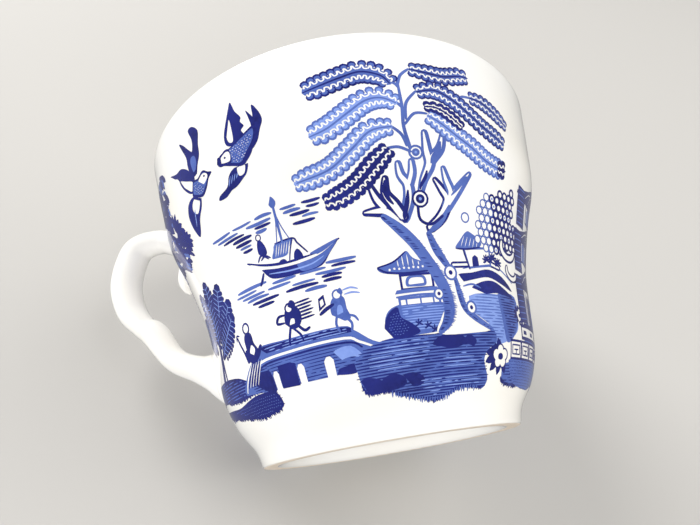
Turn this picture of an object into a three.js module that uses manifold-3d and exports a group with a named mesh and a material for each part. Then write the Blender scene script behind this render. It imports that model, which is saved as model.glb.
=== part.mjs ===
// A footed teacup with a loop handle, in millimetres, +Z up.
//
// The bowl is one turned shell with an integral foot ring. The handle is a
// separate cast piece. It meets the bowl at two pads of slip (liquid clay).
// The origin is on the table plane, under the middle of the whole cup's
// length, and the handle points along -X.

import * as THREE from 'three';
import { mergeVertices } from 'three/addons/utils/BufferGeometryUtils.js';
import Module from 'manifold-3d';

// Driving dimensions, mm
const cupHeight = 65.0;
const rimRadius = 43.0;
const rimLipRadius = 1.25;
const wallAtRim = 2.5;
const wallAtBelly = 3.0;
const footRadius = 24.9;
const footBevel = 0.4;
const footRingWidth = 2.4;
const footRecessDepth = 2.6;
const bowlFloorHeight = 6.8;
const handleReach = 60.0;       // from the bowl's axis to the handle's far side
const handleHalfWidth = 3.8;    // across the loop's plane
const handleHalfThickness = 3.1;
const slipThickness = 0.8;
const jointGap = 0.3;           // between faces that touch

const bowlSegments = 60;
const wallSteps = 14;
const handleSteps = 42;
const handleSides = 12;
const jointSplitHeight = 36;    // above it the upper joint, below it the lower

// The bowl's axis stands off the origin by half of what the handle adds.
const bowlX = (handleReach - rimRadius) / 2;

// The outer wall from the foot to the rim, as radius and height: a short
// turned-in foot, a full round belly, an upright waist, then a bell mouth.
const outerWall = new THREE.SplineCurve([
    new THREE.Vector2(footRadius + footBevel, footBevel),
    new THREE.Vector2(26.3, 3.2),
    new THREE.Vector2(29.3, 7.6),
    new THREE.Vector2(31.4, 13.2),
    new THREE.Vector2(32.6, 20.5),
    new THREE.Vector2(34.0, 28.5),
    new THREE.Vector2(37.2, 38.5),
    new THREE.Vector2(40.3, 46.5),
    new THREE.Vector2(41.6, 54.0),
    new THREE.Vector2(rimRadius, cupHeight - rimLipRadius),
]);

// The inner wall from the rim down to the rounded corner of the floor.
const innerWall = new THREE.SplineCurve([
    new THREE.Vector2(rimRadius - wallAtRim, cupHeight - rimLipRadius),
    new THREE.Vector2(41.6 - wallAtRim, 54.0),
    new THREE.Vector2(40.3 - wallAtRim, 46.5),
    new THREE.Vector2(37.2 - wallAtBelly, 38.5),
    new THREE.Vector2(34.0 - wallAtBelly, 28.5),
    new THREE.Vector2(32.6 - wallAtBelly, 20.5),
    new THREE.Vector2(27.6, 12.6),
    new THREE.Vector2(22.0, 8.4),
    new THREE.Vector2(12.0, bowlFloorHeight + 0.2),
]);

// The handle's centreline in the plane of its loop, as distance from the
// bowl's axis and height: a round upper lobe, a kink for the finger, and a
// smaller lower lobe that sweeps back to the belly.
const handlePath = [
    [36.0, 54.4],
    [41.0, 55.2],
    [46.3, 56.6],
    [51.4, 56.5],
    [54.9, 53.8],
    [56.9, 47.2],
    [55.4, 40.3],
    [51.9, 35.6],
    [48.6, 32.2],
    [44.2, 26.4],
    [38.5, 23.1],
    [31.5, 20.8],
    [27.0, 19.8],
];

// The pointed tail that hangs from the handle's upper root, along the wall.
const tailTip = [40.3, 41.8];   // distance from the bowl's axis, and height
const tailLength = 15.5;
const tailLean = THREE.MathUtils.degToRad(10);
const tailHalfDepth = 1.9;
const tailHalfWidth = 2.8;

function latheFrom(points) {
    const lathe = new THREE.LatheGeometry(points, bowlSegments);
    lathe.rotateX(Math.PI / 2);
    return lathe;
}

function arcPoints(centre, radius, from, to, steps) {
    const points = [];
    for (let i = 0; i <= steps; i += 1) {
        const angle = THREE.MathUtils.lerp(from, to, i / steps);
        points.push(new THREE.Vector2(
            centre.x + radius * Math.cos(angle),
            centre.y + radius * Math.sin(angle),
        ));
    }
    return points;
}

// The whole section of the bowl, from the axis under the foot, round the
// outside, over the rim and back down the inside to the axis.
function bowlSection() {
    const recessRadius = footRadius - footRingWidth;
    const lipCentre = new THREE.Vector2(rimRadius - rimLipRadius, cupHeight - rimLipRadius);
    return [
        new THREE.Vector2(0, footRecessDepth),
        new THREE.Vector2(recessRadius - 2, footRecessDepth),
        new THREE.Vector2(recessRadius - 0.6, footRecessDepth * 0.5),
        new THREE.Vector2(recessRadius, 0),
        new THREE.Vector2(footRadius, 0),
        ...outerWall.getPoints(wallSteps),
        ...arcPoints(lipCentre, rimLipRadius, Math.PI / 6, Math.PI * 5 / 6, 4),
        ...innerWall.getPoints(wallSteps),
        new THREE.Vector2(0, bowlFloorHeight),
    ];
}

// The space the bowl fills, grown outwards by a distance: it trims what meets
// the wall from outside.
function bowlSpace(grow) {
    const wall = outerWall.getPoints(wallSteps);
    const grown = wall.map((point) => new THREE.Vector2(point.x + grow, point.y));
    return latheFrom([
        new THREE.Vector2(0, grown[0].y),
        ...grown,
        new THREE.Vector2(0, grown[grown.length - 1].y),
    ]);
}

// An oval bar along the centreline, wider across the loop than it is thick.
function handleBar() {
    const points = handlePath.map(([reach, height]) => new THREE.Vector3(-reach, 0, height));
    const section = new THREE.Shape();
    section.absellipse(0, 0, handleHalfWidth, handleHalfThickness, 0, Math.PI * 2);
    return new THREE.ExtrudeGeometry(section, {
        steps: handleSteps,
        curveSegments: handleSides,
        extrudePath: new THREE.CatmullRomCurve3(points),
    });
}

// The tail is a drop, fullest where it leaves the root and pointed below.
function handleTail() {
    const [tipReach, tipHeight] = tailTip;
    const outline = new THREE.SplineCurve([
        new THREE.Vector2(0, 0),
        new THREE.Vector2(0.55, tailLength * 0.1),
        new THREE.Vector2(0.9, tailLength * 0.4),
        new THREE.Vector2(1.0, tailLength * 0.75),
        new THREE.Vector2(0, tailLength),
    ]);
    const drop = new THREE.LatheGeometry(outline.getPoints(10), 16);
    drop.rotateX(Math.PI / 2);
    drop.scale(tailHalfDepth, tailHalfWidth, 1);
    drop.rotateY(-tailLean);
    drop.translate(-tipReach, 0, tipHeight);
    return drop;
}

const wasm = await Module();
wasm.setup();

function solidFrom(geometry) {
    const bare = geometry.clone();
    bare.deleteAttribute('normal');
    bare.deleteAttribute('uv');
    const merged = mergeVertices(bare, 1e-4);
    return new wasm.Manifold(new wasm.Mesh({
        numProp: 3,
        vertProperties: new Float32Array(merged.attributes.position.array),
        triVerts: new Uint32Array(merged.index.array),
    }));
}

function geometryFrom(solid) {
    const mesh = solid.getMesh();
    const geometry = new THREE.BufferGeometry();
    geometry.setAttribute('position', new THREE.BufferAttribute(mesh.vertProperties, 3));
    geometry.setIndex(new THREE.BufferAttribute(mesh.triVerts, 1));
    geometry.computeVertexNormals();
    return geometry;
}

// A block that holds everything on the handle's side above or below a height.
function sideBlock(bottom, top) {
    const block = new THREE.BoxGeometry(80, 60, top - bottom);
    block.translate(-50, 0, (bottom + top) / 2);
    return solidFrom(block);
}

const glaze = { color: 0xf4f1ea, roughness: 0.12, metalness: 0 };
const slip = { color: 0xe9e2d4, roughness: 0.35, metalness: 0 };

const cup = new THREE.Group();
cup.position.x = bowlX;

function addPart(name, geometry, finish) {
    const mesh = new THREE.Mesh(geometry, new THREE.MeshStandardMaterial(finish));
    mesh.name = name;
    cup.add(mesh);
}

const handleBlank = solidFrom(handleBar()).add(solidFrom(handleTail()));
const handleSide = sideBlock(0, cupHeight + 10);
const handleTrim = solidFrom(bowlSpace(slipThickness + 2 * jointGap));
const slipLayer = solidFrom(bowlSpace(slipThickness + jointGap))
    .subtract(solidFrom(bowlSpace(jointGap)));
const slipJoints = handleBlank.intersect(slipLayer).intersect(handleSide);

addPart('cup_body', latheFrom(bowlSection()), glaze);
addPart('handle', geometryFrom(handleBlank.subtract(handleTrim)), glaze);
addPart(
    'upper_slip_joint',
    geometryFrom(slipJoints.intersect(sideBlock(jointSplitHeight, cupHeight))),
    slip,
);
addPart(
    'lower_slip_joint',
    geometryFrom(slipJoints.intersect(sideBlock(0, jointSplitHeight))),
    slip,
);

const teacup = new THREE.Group();
teacup.add(cup);

export default teacup;
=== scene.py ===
"""A blue-and-white footed teacup: glazed bowl, handle, slip joints and landscape print.

Lengths in the tables are millimetres on the object; the mesh is made in metres.
"""

import math
import random

import bmesh
import bpy
import numpy as np
from mathutils import Matrix, Vector
from mathutils.geometry import delaunay_2d_cdt


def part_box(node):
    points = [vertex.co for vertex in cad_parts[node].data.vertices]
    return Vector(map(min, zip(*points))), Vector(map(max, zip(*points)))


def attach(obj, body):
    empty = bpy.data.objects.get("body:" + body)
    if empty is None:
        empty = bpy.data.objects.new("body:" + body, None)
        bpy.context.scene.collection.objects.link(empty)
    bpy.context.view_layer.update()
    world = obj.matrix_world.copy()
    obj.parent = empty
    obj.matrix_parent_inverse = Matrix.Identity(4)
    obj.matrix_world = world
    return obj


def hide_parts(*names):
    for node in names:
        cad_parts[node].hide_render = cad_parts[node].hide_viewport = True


MM = 0.001

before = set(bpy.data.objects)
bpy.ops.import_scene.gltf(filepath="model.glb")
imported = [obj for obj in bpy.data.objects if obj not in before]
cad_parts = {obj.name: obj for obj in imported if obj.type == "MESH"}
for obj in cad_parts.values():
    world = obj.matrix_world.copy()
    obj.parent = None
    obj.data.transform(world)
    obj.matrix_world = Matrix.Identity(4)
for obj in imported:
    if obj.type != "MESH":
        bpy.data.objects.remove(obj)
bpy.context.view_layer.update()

# ---------------------------------------------------------------- the frame's sizes, mm

body_low, body_high = (np.array(corner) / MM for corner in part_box("cup_body"))
AXIS_X = (body_low[0] + body_high[0]) / 2
RIM_RADIUS = (body_high[0] - body_low[0]) / 2
CUP_HEIGHT = body_high[2]

# ---------------------------------------------------------------- the bowl's section, mm

LIP_RADIUS = 1.25
FOOT_RADIUS = 24.9
FOOT_INNER_RADIUS = 22.5
RECESS_DEPTH = 2.6
FLOOR_HEIGHT = 6.8

# Radius and height up the outside, from the foot's bevel to the rim's lip.
OUTER_WALL = [
    (FOOT_RADIUS + 0.4, 0.4), (26.3, 3.2), (29.3, 7.6), (31.4, 13.2), (32.6, 20.5),
    (34.0, 28.5), (37.2, 38.5), (40.3, 46.5), (41.6, 54.0),
    (RIM_RADIUS, CUP_HEIGHT - LIP_RADIUS),
]
# And down the inside, from the lip to the middle of the floor.
INNER_WALL = [
    (RIM_RADIUS - 2 * LIP_RADIUS, CUP_HEIGHT - LIP_RADIUS), (39.1, 54.0), (37.8, 46.5),
    (34.3, 38.5), (31.1, 28.5), (29.6, 20.5), (27.6, 12.6), (22.0, 8.4), (12.0, 7.0),
    (0.0, FLOOR_HEIGHT),
]
BOWL_SEGMENTS = 288


def spline(points, steps):
    """Points on a Catmull-Rom curve that passes through the given ones."""
    points = np.array(points, float)
    last = len(points) - 1
    curve = []
    for i in range(last):
        before, here = points[max(i - 1, 0)], points[i]
        there, after = points[i + 1], points[min(i + 2, last)]
        leave, arrive = (there - before) / 2, (after - here) / 2
        for t in np.linspace(0, 1, steps, endpoint=False):
            curve.append(
                (2 * here - 2 * there + leave + arrive) * t ** 3
                + (3 * there - 3 * here - 2 * leave - arrive) * t ** 2
                + leave * t + here
            )
    curve.append(points[last])
    return np.array(curve)


def arc(centre, radius, start, end, steps):
    """Points on an arc; start and end in degrees."""
    angles = np.radians(np.linspace(start, end, steps))
    return np.c_[centre[0] + radius * np.cos(angles), centre[1] + radius * np.sin(angles)]


wall = spline(OUTER_WALL, 40)
wall_length = np.r_[0, np.cumsum(np.hypot(*np.diff(wall, axis=0).T))]


def wall_radius(height):
    """The radius of the outer wall at a height."""
    return np.interp(height, wall[:, 1], wall[:, 0])


# ---------------------------------------------------------------- mesh helpers

def mesh_object(name, vertices, faces, smooth=True):
    """A new piece from points in millimetres and faces."""
    mesh = bpy.data.meshes.new(name)
    mesh.from_pydata([tuple(v) for v in np.asarray(vertices) * MM], [], faces)
    mesh.validate()
    mesh.update()
    if smooth:
        mesh.polygons.foreach_set("use_smooth", [True] * len(mesh.polygons))
    piece = bpy.data.objects.new(name, mesh)
    bpy.context.scene.collection.objects.link(piece)
    return piece


def face_outwards(piece):
    """Turn every face of a closed piece outwards."""
    shape = bmesh.new()
    shape.from_mesh(piece.data)
    bmesh.ops.recalc_face_normals(shape, faces=shape.faces)
    shape.to_mesh(piece.data)
    shape.free()


def turned(name, section, segments):
    """A closed turned body. The section runs from the axis, round, and back to it."""
    ring_count = len(section) - 2
    angles = np.linspace(0, 2 * math.pi, segments, endpoint=False)
    rings = [
        np.c_[AXIS_X + r * np.cos(angles), r * np.sin(angles), np.full(segments, z)]
        for r, z in section[1:-1]
    ]
    vertices = np.vstack(rings + [[[AXIS_X, 0, section[0][1]], [AXIS_X, 0, section[-1][1]]]])
    first_centre = ring_count * segments
    faces = []
    for ring in range(ring_count - 1):
        for i in range(segments):
            j = (i + 1) % segments
            low, high = ring * segments, (ring + 1) * segments
            faces.append((low + i, low + j, high + j, high + i))
    for i in range(segments):
        j = (i + 1) % segments
        top = (ring_count - 1) * segments
        faces.append((first_centre, j, i))
        faces.append((first_centre + 1, top + i, top + j))
    return mesh_object(name, vertices, faces)


# ---------------------------------------------------------------- material helpers

class Nodes:
    """A material's node tree, with short calls for what every material here uses."""

    def __init__(self, name):
        self.material = bpy.data.materials.new(name)
        self.material.use_nodes = True
        self.tree = self.material.node_tree
        self.shader = self.tree.nodes["Principled BSDF"]
        self.place = self.new("ShaderNodeTexCoord").outputs["Object"]

    def new(self, kind, **settings):
        node = self.tree.nodes.new(kind)
        for key, value in settings.items():
            setattr(node, key, value)
        return node

    def link(self, start, end):
        self.tree.links.new(start, end)

    def noise(self, scale, detail=3.0, roughness=0.5):
        node = self.new("ShaderNodeTexNoise")
        node.inputs["Scale"].default_value = scale
        node.inputs["Detail"].default_value = detail
        node.inputs["Roughness"].default_value = roughness
        self.link(self.place, node.inputs["Vector"])
        return node.outputs["Fac"]

    def remap(self, value, low, high, to_low, to_high):
        node = self.new("ShaderNodeMapRange")
        for key, number in (
            ("From Min", low), ("From Max", high), ("To Min", to_low), ("To Max", to_high)
        ):
            node.inputs[key].default_value = number
        self.link(value, node.inputs["Value"])
        return node.outputs["Result"]

    def mix(self, factor, first, second):
        node = self.new("ShaderNodeMix", data_type="RGBA")
        self.link(factor, node.inputs["Factor"])
        for key, colour in (("A", first), ("B", second)):
            socket = [s for s in node.inputs if s.name == key and s.type == "RGBA"][0]
            if isinstance(colour, tuple):
                socket.default_value = (*colour, 1)
            else:
                self.link(colour, socket)
        return [s for s in node.outputs if s.type == "RGBA"][0]

    def bump(self, height, strength, distance):
        node = self.new("ShaderNodeBump")
        node.inputs["Strength"].default_value = strength
        node.inputs["Distance"].default_value = distance
        self.link(height, node.inputs["Height"])
        self.link(node.outputs["Normal"], self.shader.inputs["Normal"])

    def set(self, **values):
        for key, value in values.items():
            self.shader.inputs[key.replace("_", " ")].default_value = value

    def glazed(self):
        """The glaze's faint ripple and its clear coat."""
        self.bump(self.noise(230, 2.0), 0.05, 0.0004)
        self.set(IOR=1.52, Coat_Weight=0.25, Coat_Roughness=0.04, Coat_IOR=1.5)


def glaze_material(name, tint):
    """Clear glossy glaze over a warm white body: faint cream drift, glaze ripple."""
    nodes = Nodes(name)
    drift = nodes.noise(38, 2.0)
    cream = tuple(c * f for c, f in zip(tint, (0.985, 0.965, 0.925)))
    colour = nodes.mix(nodes.remap(drift, 0.42, 0.68, 0, 1), tint, cream)
    nodes.link(colour, nodes.shader.inputs["Base Color"])
    nodes.link(nodes.remap(nodes.noise(160), 0.3, 0.7, 0.07, 0.13), nodes.shader.inputs["Roughness"])
    nodes.glazed()
    return nodes.material


def biscuit_with_painted_shade_material():
    """The unglazed contact ring under the foot: matt, finely gritty, and a dark buff that is partly
    painted shade for the underside.
    """
    nodes = Nodes("bare_biscuit_painted_shade")
    # These buffs are darker than the bare body: partly painted shade under the foot.
    colour = nodes.mix(nodes.noise(900, 4.0), (0.60, 0.50, 0.40), (0.74, 0.65, 0.54))
    nodes.link(colour, nodes.shader.inputs["Base Color"])
    nodes.link(nodes.remap(nodes.noise(500), 0.3, 0.7, 0.6, 0.85), nodes.shader.inputs["Roughness"])
    nodes.bump(nodes.noise(2500, 4.0), 0.35, 0.0002)
    return nodes.material


# ---------------------------------------------------------------- the bowl

def make_bowl():
    """The turned bowl with its foot; the ring that it stands on is bare, and its darker buff is partly
    painted shade.
    """
    lip_centre = (RIM_RADIUS - LIP_RADIUS, CUP_HEIGHT - LIP_RADIUS)
    section = np.vstack([
        [(0, RECESS_DEPTH), (8, RECESS_DEPTH), (16, RECESS_DEPTH), (19.2, RECESS_DEPTH)],
        arc((19.2, RECESS_DEPTH - 1.6), 1.6, 80, 20, 4),
        [(21.3, 0.75), (22.0, 0.28)],
        [(FOOT_INNER_RADIUS, 0.06), (FOOT_INNER_RADIUS + 0.3, 0), (FOOT_RADIUS - 0.1, 0)],
        arc((FOOT_RADIUS - 0.1, 0.5), 0.5, -60, -15, 4),
        spline(OUTER_WALL, 9)[:-1],
        arc(lip_centre, LIP_RADIUS, 0, 180, 15),
        spline(INNER_WALL, 8)[1:],
    ])
    bowl = turned("bowl", section, BOWL_SEGMENTS)
    face_outwards(bowl)
    bowl.data.materials.append(glaze_material("bowl_glaze_white", (0.90, 0.885, 0.85)))
    # The second slot is the unglazed ring, its dark buff partly painted shade.
    bowl.data.materials.append(biscuit_with_painted_shade_material())
    for face in bowl.data.polygons:
        centre = face.center / MM
        radius = math.hypot(centre.x - AXIS_X, centre.y)
        if centre.z < 0.1 and radius > FOOT_INNER_RADIUS:
            face.material_index = 1
    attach(bowl, "root")
    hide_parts("cup_body")


# ---------------------------------------------------------------- the handle

# Distance from the bowl's axis, height, half thickness and half width along the loop.
HANDLE_PATH = [
    (40.9, 55.4, 3.3, 4.4), (43.4, 55.3, 2.9, 4.0), (46.9, 56.6, 2.8, 3.8),
    (51.4, 56.5, 3.1, 3.8), (54.3, 54.2, 3.5, 3.8), (56.3, 47.2, 3.6, 3.8),
    (55.0, 40.2, 3.3, 3.8), (51.7, 35.5, 2.7, 3.8), (49.0, 33.1, 3.1, 3.7),
    (44.4, 26.4, 2.7, 3.8), (38.6, 23.1, 3.1, 3.9), (34.2, 21.5, 4.9, 4.4),
    (30.7, 19.9, 6.1, 5.0),
]
# The same for the pointed tail that runs down the wall from the upper root.
TAIL_PATH = [
    (42.4, 54.6, 1.6, 3.2), (41.3, 51.0, 1.3, 3.0), (40.9, 47.6, 1.5, 2.9),
    (41.1, 44.8, 1.8, 2.5), (40.6, 42.6, 1.3, 1.8), (39.9, 41.4, 0.5, 0.7),
]
HANDLE_SIDES = 40
FUSE_VOXEL = 0.35
FUSE_SMOOTHING = 8
ROOT_DEPTH = 1.2                # how far the roots run into the bowl's wall, mm


def bar_rings(sections, steps, angles):
    """Oval rings along a bar in the handle's plane."""
    path = spline(sections, steps)
    ways = np.gradient(path[:, :2], axis=0)
    ways /= np.linalg.norm(ways, axis=1)[:, None]
    rings = []
    for (reach, height, thick, wide), (along, up) in zip(path, ways):
        across = thick * np.cos(angles)
        rings.append(np.c_[
            AXIS_X - (reach - up * across),
            wide * np.sin(angles),
            height + along * across,
        ])
    return path, np.array(rings)


def bar(name, sections, steps=12):
    """A closed oval bar through the given sections."""
    angles = np.linspace(0, 2 * math.pi, HANDLE_SIDES, endpoint=False)
    _, rings = bar_rings(sections, steps, angles)
    count = len(rings)
    faces = [tuple(range(HANDLE_SIDES))]
    faces.append(tuple(range((count - 1) * HANDLE_SIDES, count * HANDLE_SIDES)))
    for ring in range(count - 1):
        for i in range(HANDLE_SIDES):
            j = (i + 1) % HANDLE_SIDES
            low, high = ring * HANDLE_SIDES, (ring + 1) * HANDLE_SIDES
            faces.append((low + i, low + j, high + j, high + i))
    piece = mesh_object(name, rings.reshape(-1, 3), faces)
    face_outwards(piece)
    return piece


def fused(name, pieces):
    """One smooth body from overlapping ones, as casting slip would round them."""
    shape = bmesh.new()
    for piece in pieces:
        shape.from_mesh(piece.data)
        bpy.data.objects.remove(piece)
    mesh = bpy.data.meshes.new(name)
    shape.to_mesh(mesh)
    shape.free()
    body = bpy.data.objects.new(name, mesh)
    bpy.context.scene.collection.objects.link(body)
    remesh = body.modifiers.new("remesh", "REMESH")
    remesh.mode = "VOXEL"
    remesh.voxel_size = FUSE_VOXEL * MM
    smooth = body.modifiers.new("smooth", "SMOOTH")
    smooth.iterations = FUSE_SMOOTHING
    solid = bpy.data.meshes.new_from_object(body.evaluated_get(bpy.context.evaluated_depsgraph_get()))
    body.modifiers.clear()
    body.data = solid
    solid.name = name
    solid.polygons.foreach_set("use_smooth", [True] * len(solid.polygons))
    return body


def end_in_wall(piece):
    """Press back whatever runs deeper than ROOT_DEPTH into the bowl's wall."""
    for vertex in piece.data.vertices:
        x, y, z = vertex.co / MM
        radius = math.hypot(x - AXIS_X, y)
        deepest = wall_radius(z) - ROOT_DEPTH
        if radius < deepest:
            share = deepest / radius
            vertex.co = Vector((AXIS_X + (x - AXIS_X) * share, y * share, z)) * MM


def make_handle():
    """The loop and its tail, as one cast piece."""
    handle = fused("loop_handle", [bar("loop_bar", HANDLE_PATH), bar("root_tail", TAIL_PATH)])
    end_in_wall(handle)
    handle.data.materials.append(glaze_material("handle_glaze_white", (0.90, 0.885, 0.85)))
    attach(handle, "root")
    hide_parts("handle")


# ---------------------------------------------------------------- the slip at the joints

FILLET_SIDES = 96
FILLET_ON_HANDLE = 1.7          # how far the slip runs up the handle, mm
FILLET_ON_WALL = 1.5            # and out over the wall
FILLET_SINK = 0.5


def wall_gap(points):
    """How far points stand out from the wall, level."""
    radius = np.hypot(points[..., 0] - AXIS_X, points[..., 1])
    return radius - wall_radius(points[..., 2])


def along_bar(rings, gaps, gap):
    """Where each lengthwise line of the bar is this far from the wall."""
    spots = []
    for line, gap_line in zip(rings.transpose(1, 0, 2), gaps.T):
        order = np.argsort(gap_line)
        spots.append([np.interp(gap, gap_line[order], line[order, k]) for k in range(3)])
    return np.array(spots)


def onto_wall(points, sink=0.0):
    """The points moved level onto the wall, or sunk into it."""
    radius = np.hypot(points[:, 0] - AXIS_X, points[:, 1])
    share = (wall_radius(points[:, 2]) - sink) / radius
    return np.c_[AXIS_X + (points[:, 0] - AXIS_X) * share, points[:, 1] * share, points[:, 2]]


def make_fillet(name, node, sections):
    """The collar of slip round a root: hollow-curved from the handle to the wall."""
    angles = np.linspace(0, 2 * math.pi, FILLET_SIDES, endpoint=False)
    _, rings = bar_rings(sections, 24, angles)
    gaps = wall_gap(rings)
    corner = along_bar(rings, gaps, 0.0)
    on_handle = along_bar(rings, gaps, FILLET_ON_HANDLE)
    away = corner - corner.mean(0)
    away[:, 0] = 0
    away /= np.linalg.norm(away, axis=1)[:, None]
    on_wall = onto_wall(corner + away * FILLET_ON_WALL)
    loops = [
        (1 - t) ** 2 * on_handle + 2 * t * (1 - t) * corner + t ** 2 * on_wall
        for t in np.linspace(0, 1, 8)
    ]
    loops.append(onto_wall(on_wall, FILLET_SINK))
    inner = corner - away * FILLET_SINK
    loops.append(onto_wall(inner, FILLET_SINK))
    loops.append(on_handle - away * FILLET_SINK)
    count, sides = len(loops), FILLET_SIDES
    faces = [
        (a * sides + i, a * sides + (i + 1) % sides, b * sides + (i + 1) % sides, b * sides + i)
        for a, b in zip(range(count), [*range(1, count), 0]) for i in range(sides)
    ]
    fillet = mesh_object(name, np.vstack(loops), faces)
    face_outwards(fillet)
    fillet.data.materials.append(glaze_material(name + "_glaze", (0.89, 0.872, 0.83)))
    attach(fillet, "root")
    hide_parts(node)


# ---------------------------------------------------------------- the print's drawing tools
#
# The print is drawn flat: x is the distance round the bowl at PRINT_RADIUS, to the right
# from the middle of the main scene, and y is the distance up the wall from the foot.
# Shapes are painted in order, so a later one covers an earlier one; CLEAR takes ink off.

CLEAR, PALE, MID, DARK = range(4)


class Drawing:
    """Closed outlines in paint order, each with its ink."""

    def __init__(self, seed):
        self.shapes = []
        self.dice = random.Random(seed)
        self.shift = 0.0

    def add(self, outline, ink):
        self.shapes.append((np.array(outline, float) + (self.shift, 0), ink))

    def fill(self, points, ink, steps=4):
        """A soft outline through the given points."""
        self.add(closed_spline(points, steps), ink)

    def sharp(self, points, ink):
        self.add(points, ink)

    def disc(self, x, y, radius, ink, sides=12, tall=1.0):
        turn = np.linspace(0, 2 * math.pi, sides, endpoint=False)
        self.add(np.c_[x + radius * np.cos(turn), y + radius * tall * np.sin(turn)], ink)

    def ring(self, x, y, radius, width, ink, middle=CLEAR, sides=14, tall=1.0):
        self.disc(x, y, radius, ink, sides, tall)
        self.disc(x, y, radius - width, middle, sides, tall)

    def stroke(self, points, width, ink, ends=0.35, steps=6):
        """A brush stroke through the points, with its ends thinned to a share of width."""
        path = spline(points, steps if len(points) > 2 else 3)
        along = np.linspace(0, 1, len(path))
        swell = ends + (1 - ends) * np.sin(math.pi * along) ** 0.6
        self.add(ribbon(path, width * swell), ink)

    def limb(self, points, ink, grow=0.0, steps=4):
        """A branch: each point is x, y and width. grow widens it on both sides."""
        path = spline(points, steps)
        self.add(ribbon(path[:, :2], path[:, 2] + 2 * grow), ink)


def closed_spline(points, steps):
    points = [tuple(p) for p in points]
    looped = points[-2:] + points + points[:2]
    return spline(looped, steps)[2 * steps:-2 * steps - 1]


def ribbon(path, widths):
    """The outline of a band along a path, with a pointed or round-ish end."""
    steps = np.gradient(path, axis=0)
    steps /= np.maximum(np.linalg.norm(steps, axis=1), 1e-9)[:, None]
    side = np.c_[-steps[:, 1], steps[:, 0]] * np.asarray(widths)[:, None] / 2
    ends = []
    for i, way in ((-1, 1), (0, -1)):
        reach = way * steps[i] * np.asarray(widths)[i] / 2
        ends.append([
            path[i] + reach * math.cos(turn) + way * side[i] * math.sin(turn)
            for turn in (0.8, 0.0, -0.8)
        ])
    return np.vstack([path + side, ends[0], (path - side)[::-1], ends[1]])


def inside(points, outline):
    """Which points lie in an outline, by its winding number."""
    start, end = outline, np.roll(outline, -1, axis=0)
    winding = np.zeros(len(points), int)
    for (x0, y0), (x1, y1) in zip(start, end):
        if y0 == y1:
            continue
        left = (x1 - x0) * (points[:, 1] - y0) - (points[:, 0] - x0) * (y1 - y0)
        winding += (y0 <= points[:, 1]) & (y1 > points[:, 1]) & (left > 0)
        winding -= (y1 <= points[:, 1]) & (y0 > points[:, 1]) & (left < 0)
    return winding != 0


# ---------------------------------------------------------------- the print's motifs

def frond(art, spine, width, ink, edge=DARK, pitch=1.05):
    """A drooping willow frond: a scalloped band with a row of curls on either side."""
    path = spline(spine, 12)
    length = np.r_[0, np.cumsum(np.hypot(*np.diff(path, axis=0).T))]
    steps = np.gradient(path, axis=0)
    steps /= np.linalg.norm(steps, axis=1)[:, None]
    spots = np.arange(pitch * 0.4, length[-1], pitch)
    places = [
        [np.interp(spot, length, column) for column in (*path.T, *steps.T)] for spot in spots
    ]
    taper = [0.62 + 0.38 * min(1, spot / 3, (length[-1] - spot) / 1.6) for spot in spots]
    core = [(x, y, width * 0.56 * t) for (x, y, _, _), t in zip(places, taper)]
    for size, reach_share, colour in ((0.66, 0.41, edge), (0.45, 0.37, ink)):
        for side in (1, -1):
            for (x, y, along, up), share in zip(places, taper):
                reach = side * width * reach_share * share
                art.disc(x - up * reach, y + along * reach, pitch * size, colour, 8)
        art.limb(core, ink, steps=1)
    for side in (1, -1):
        wave = []
        for (x, y, along, up), share in zip(places, taper):
            for a, b in ((-0.26, 0.17), (-0.06, 0.30), (0.16, 0.33), (0.26, 0.20)):
                reach = side * b * width * share
                step = a * pitch
                wave.append((x + along * step - up * reach, y + up * step + along * reach, 0.27))
        art.limb(wave, CLEAR, steps=2)
    art.stroke(spine, 0.34, edge, 0.6)


def dashes(art, rows, ink=DARK, width=0.50, lighter=0.45):
    """Water: each row is a height and the ends of its dashes, some of them lighter."""
    for height, *ends in rows:
        for start, end in zip(ends[::2], ends[1::2]):
            wave = art.dice.uniform(-0.12, 0.12)
            middle = (start + end) / 2
            art.stroke(
                [(start, height), (middle, height + wave), (end, height)],
                width * art.dice.uniform(0.8, 1.2),
                MID if art.dice.random() < lighter else ink, 0.55, 3,
            )


def ripples(art, left, right, low, high, ink=DARK, pitch=0.82):
    """A patch of water dashes with uneven ends."""
    count = int((high - low) / pitch)
    for row in range(count):
        height = high - row * pitch
        inset = abs(row / max(count - 1, 1) - 0.35) * 3.0
        x = left + inset + art.dice.uniform(0, 2)
        while x < right - inset:
            span = art.dice.uniform(1.8, 4.4)
            end = min(x + span, right - inset + 1)
            if end - x > 0.8:
                dashes(art, [(height, x, end)], ink)
            x = end + art.dice.uniform(0.5, 1.6)


def stipple(art, outline, ink, pitch=0.62, size=0.34, thick=0.15):
    """Rows of short engraved ticks inside an outline."""
    outline = closed_spline(outline, 4)
    low, high = outline.min(0), outline.max(0)
    spots = []
    for row, y in enumerate(np.arange(low[1] + pitch * 0.3, high[1], pitch * 0.8)):
        for x in np.arange(low[0] + pitch * 0.5 * (row % 2), high[0], pitch):
            spots.append((x + art.dice.uniform(-0.1, 0.1), y + art.dice.uniform(-0.06, 0.06)))
    spots = np.array(spots)
    for x, y in spots[inside(spots, outline)]:
        lift = art.dice.uniform(-0.04, 0.08)
        art.sharp(
            [(x - size / 2, y), (x, y - thick / 2), (x + size / 2, y + lift), (x, y + thick / 2)],
            ink,
        )


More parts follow.
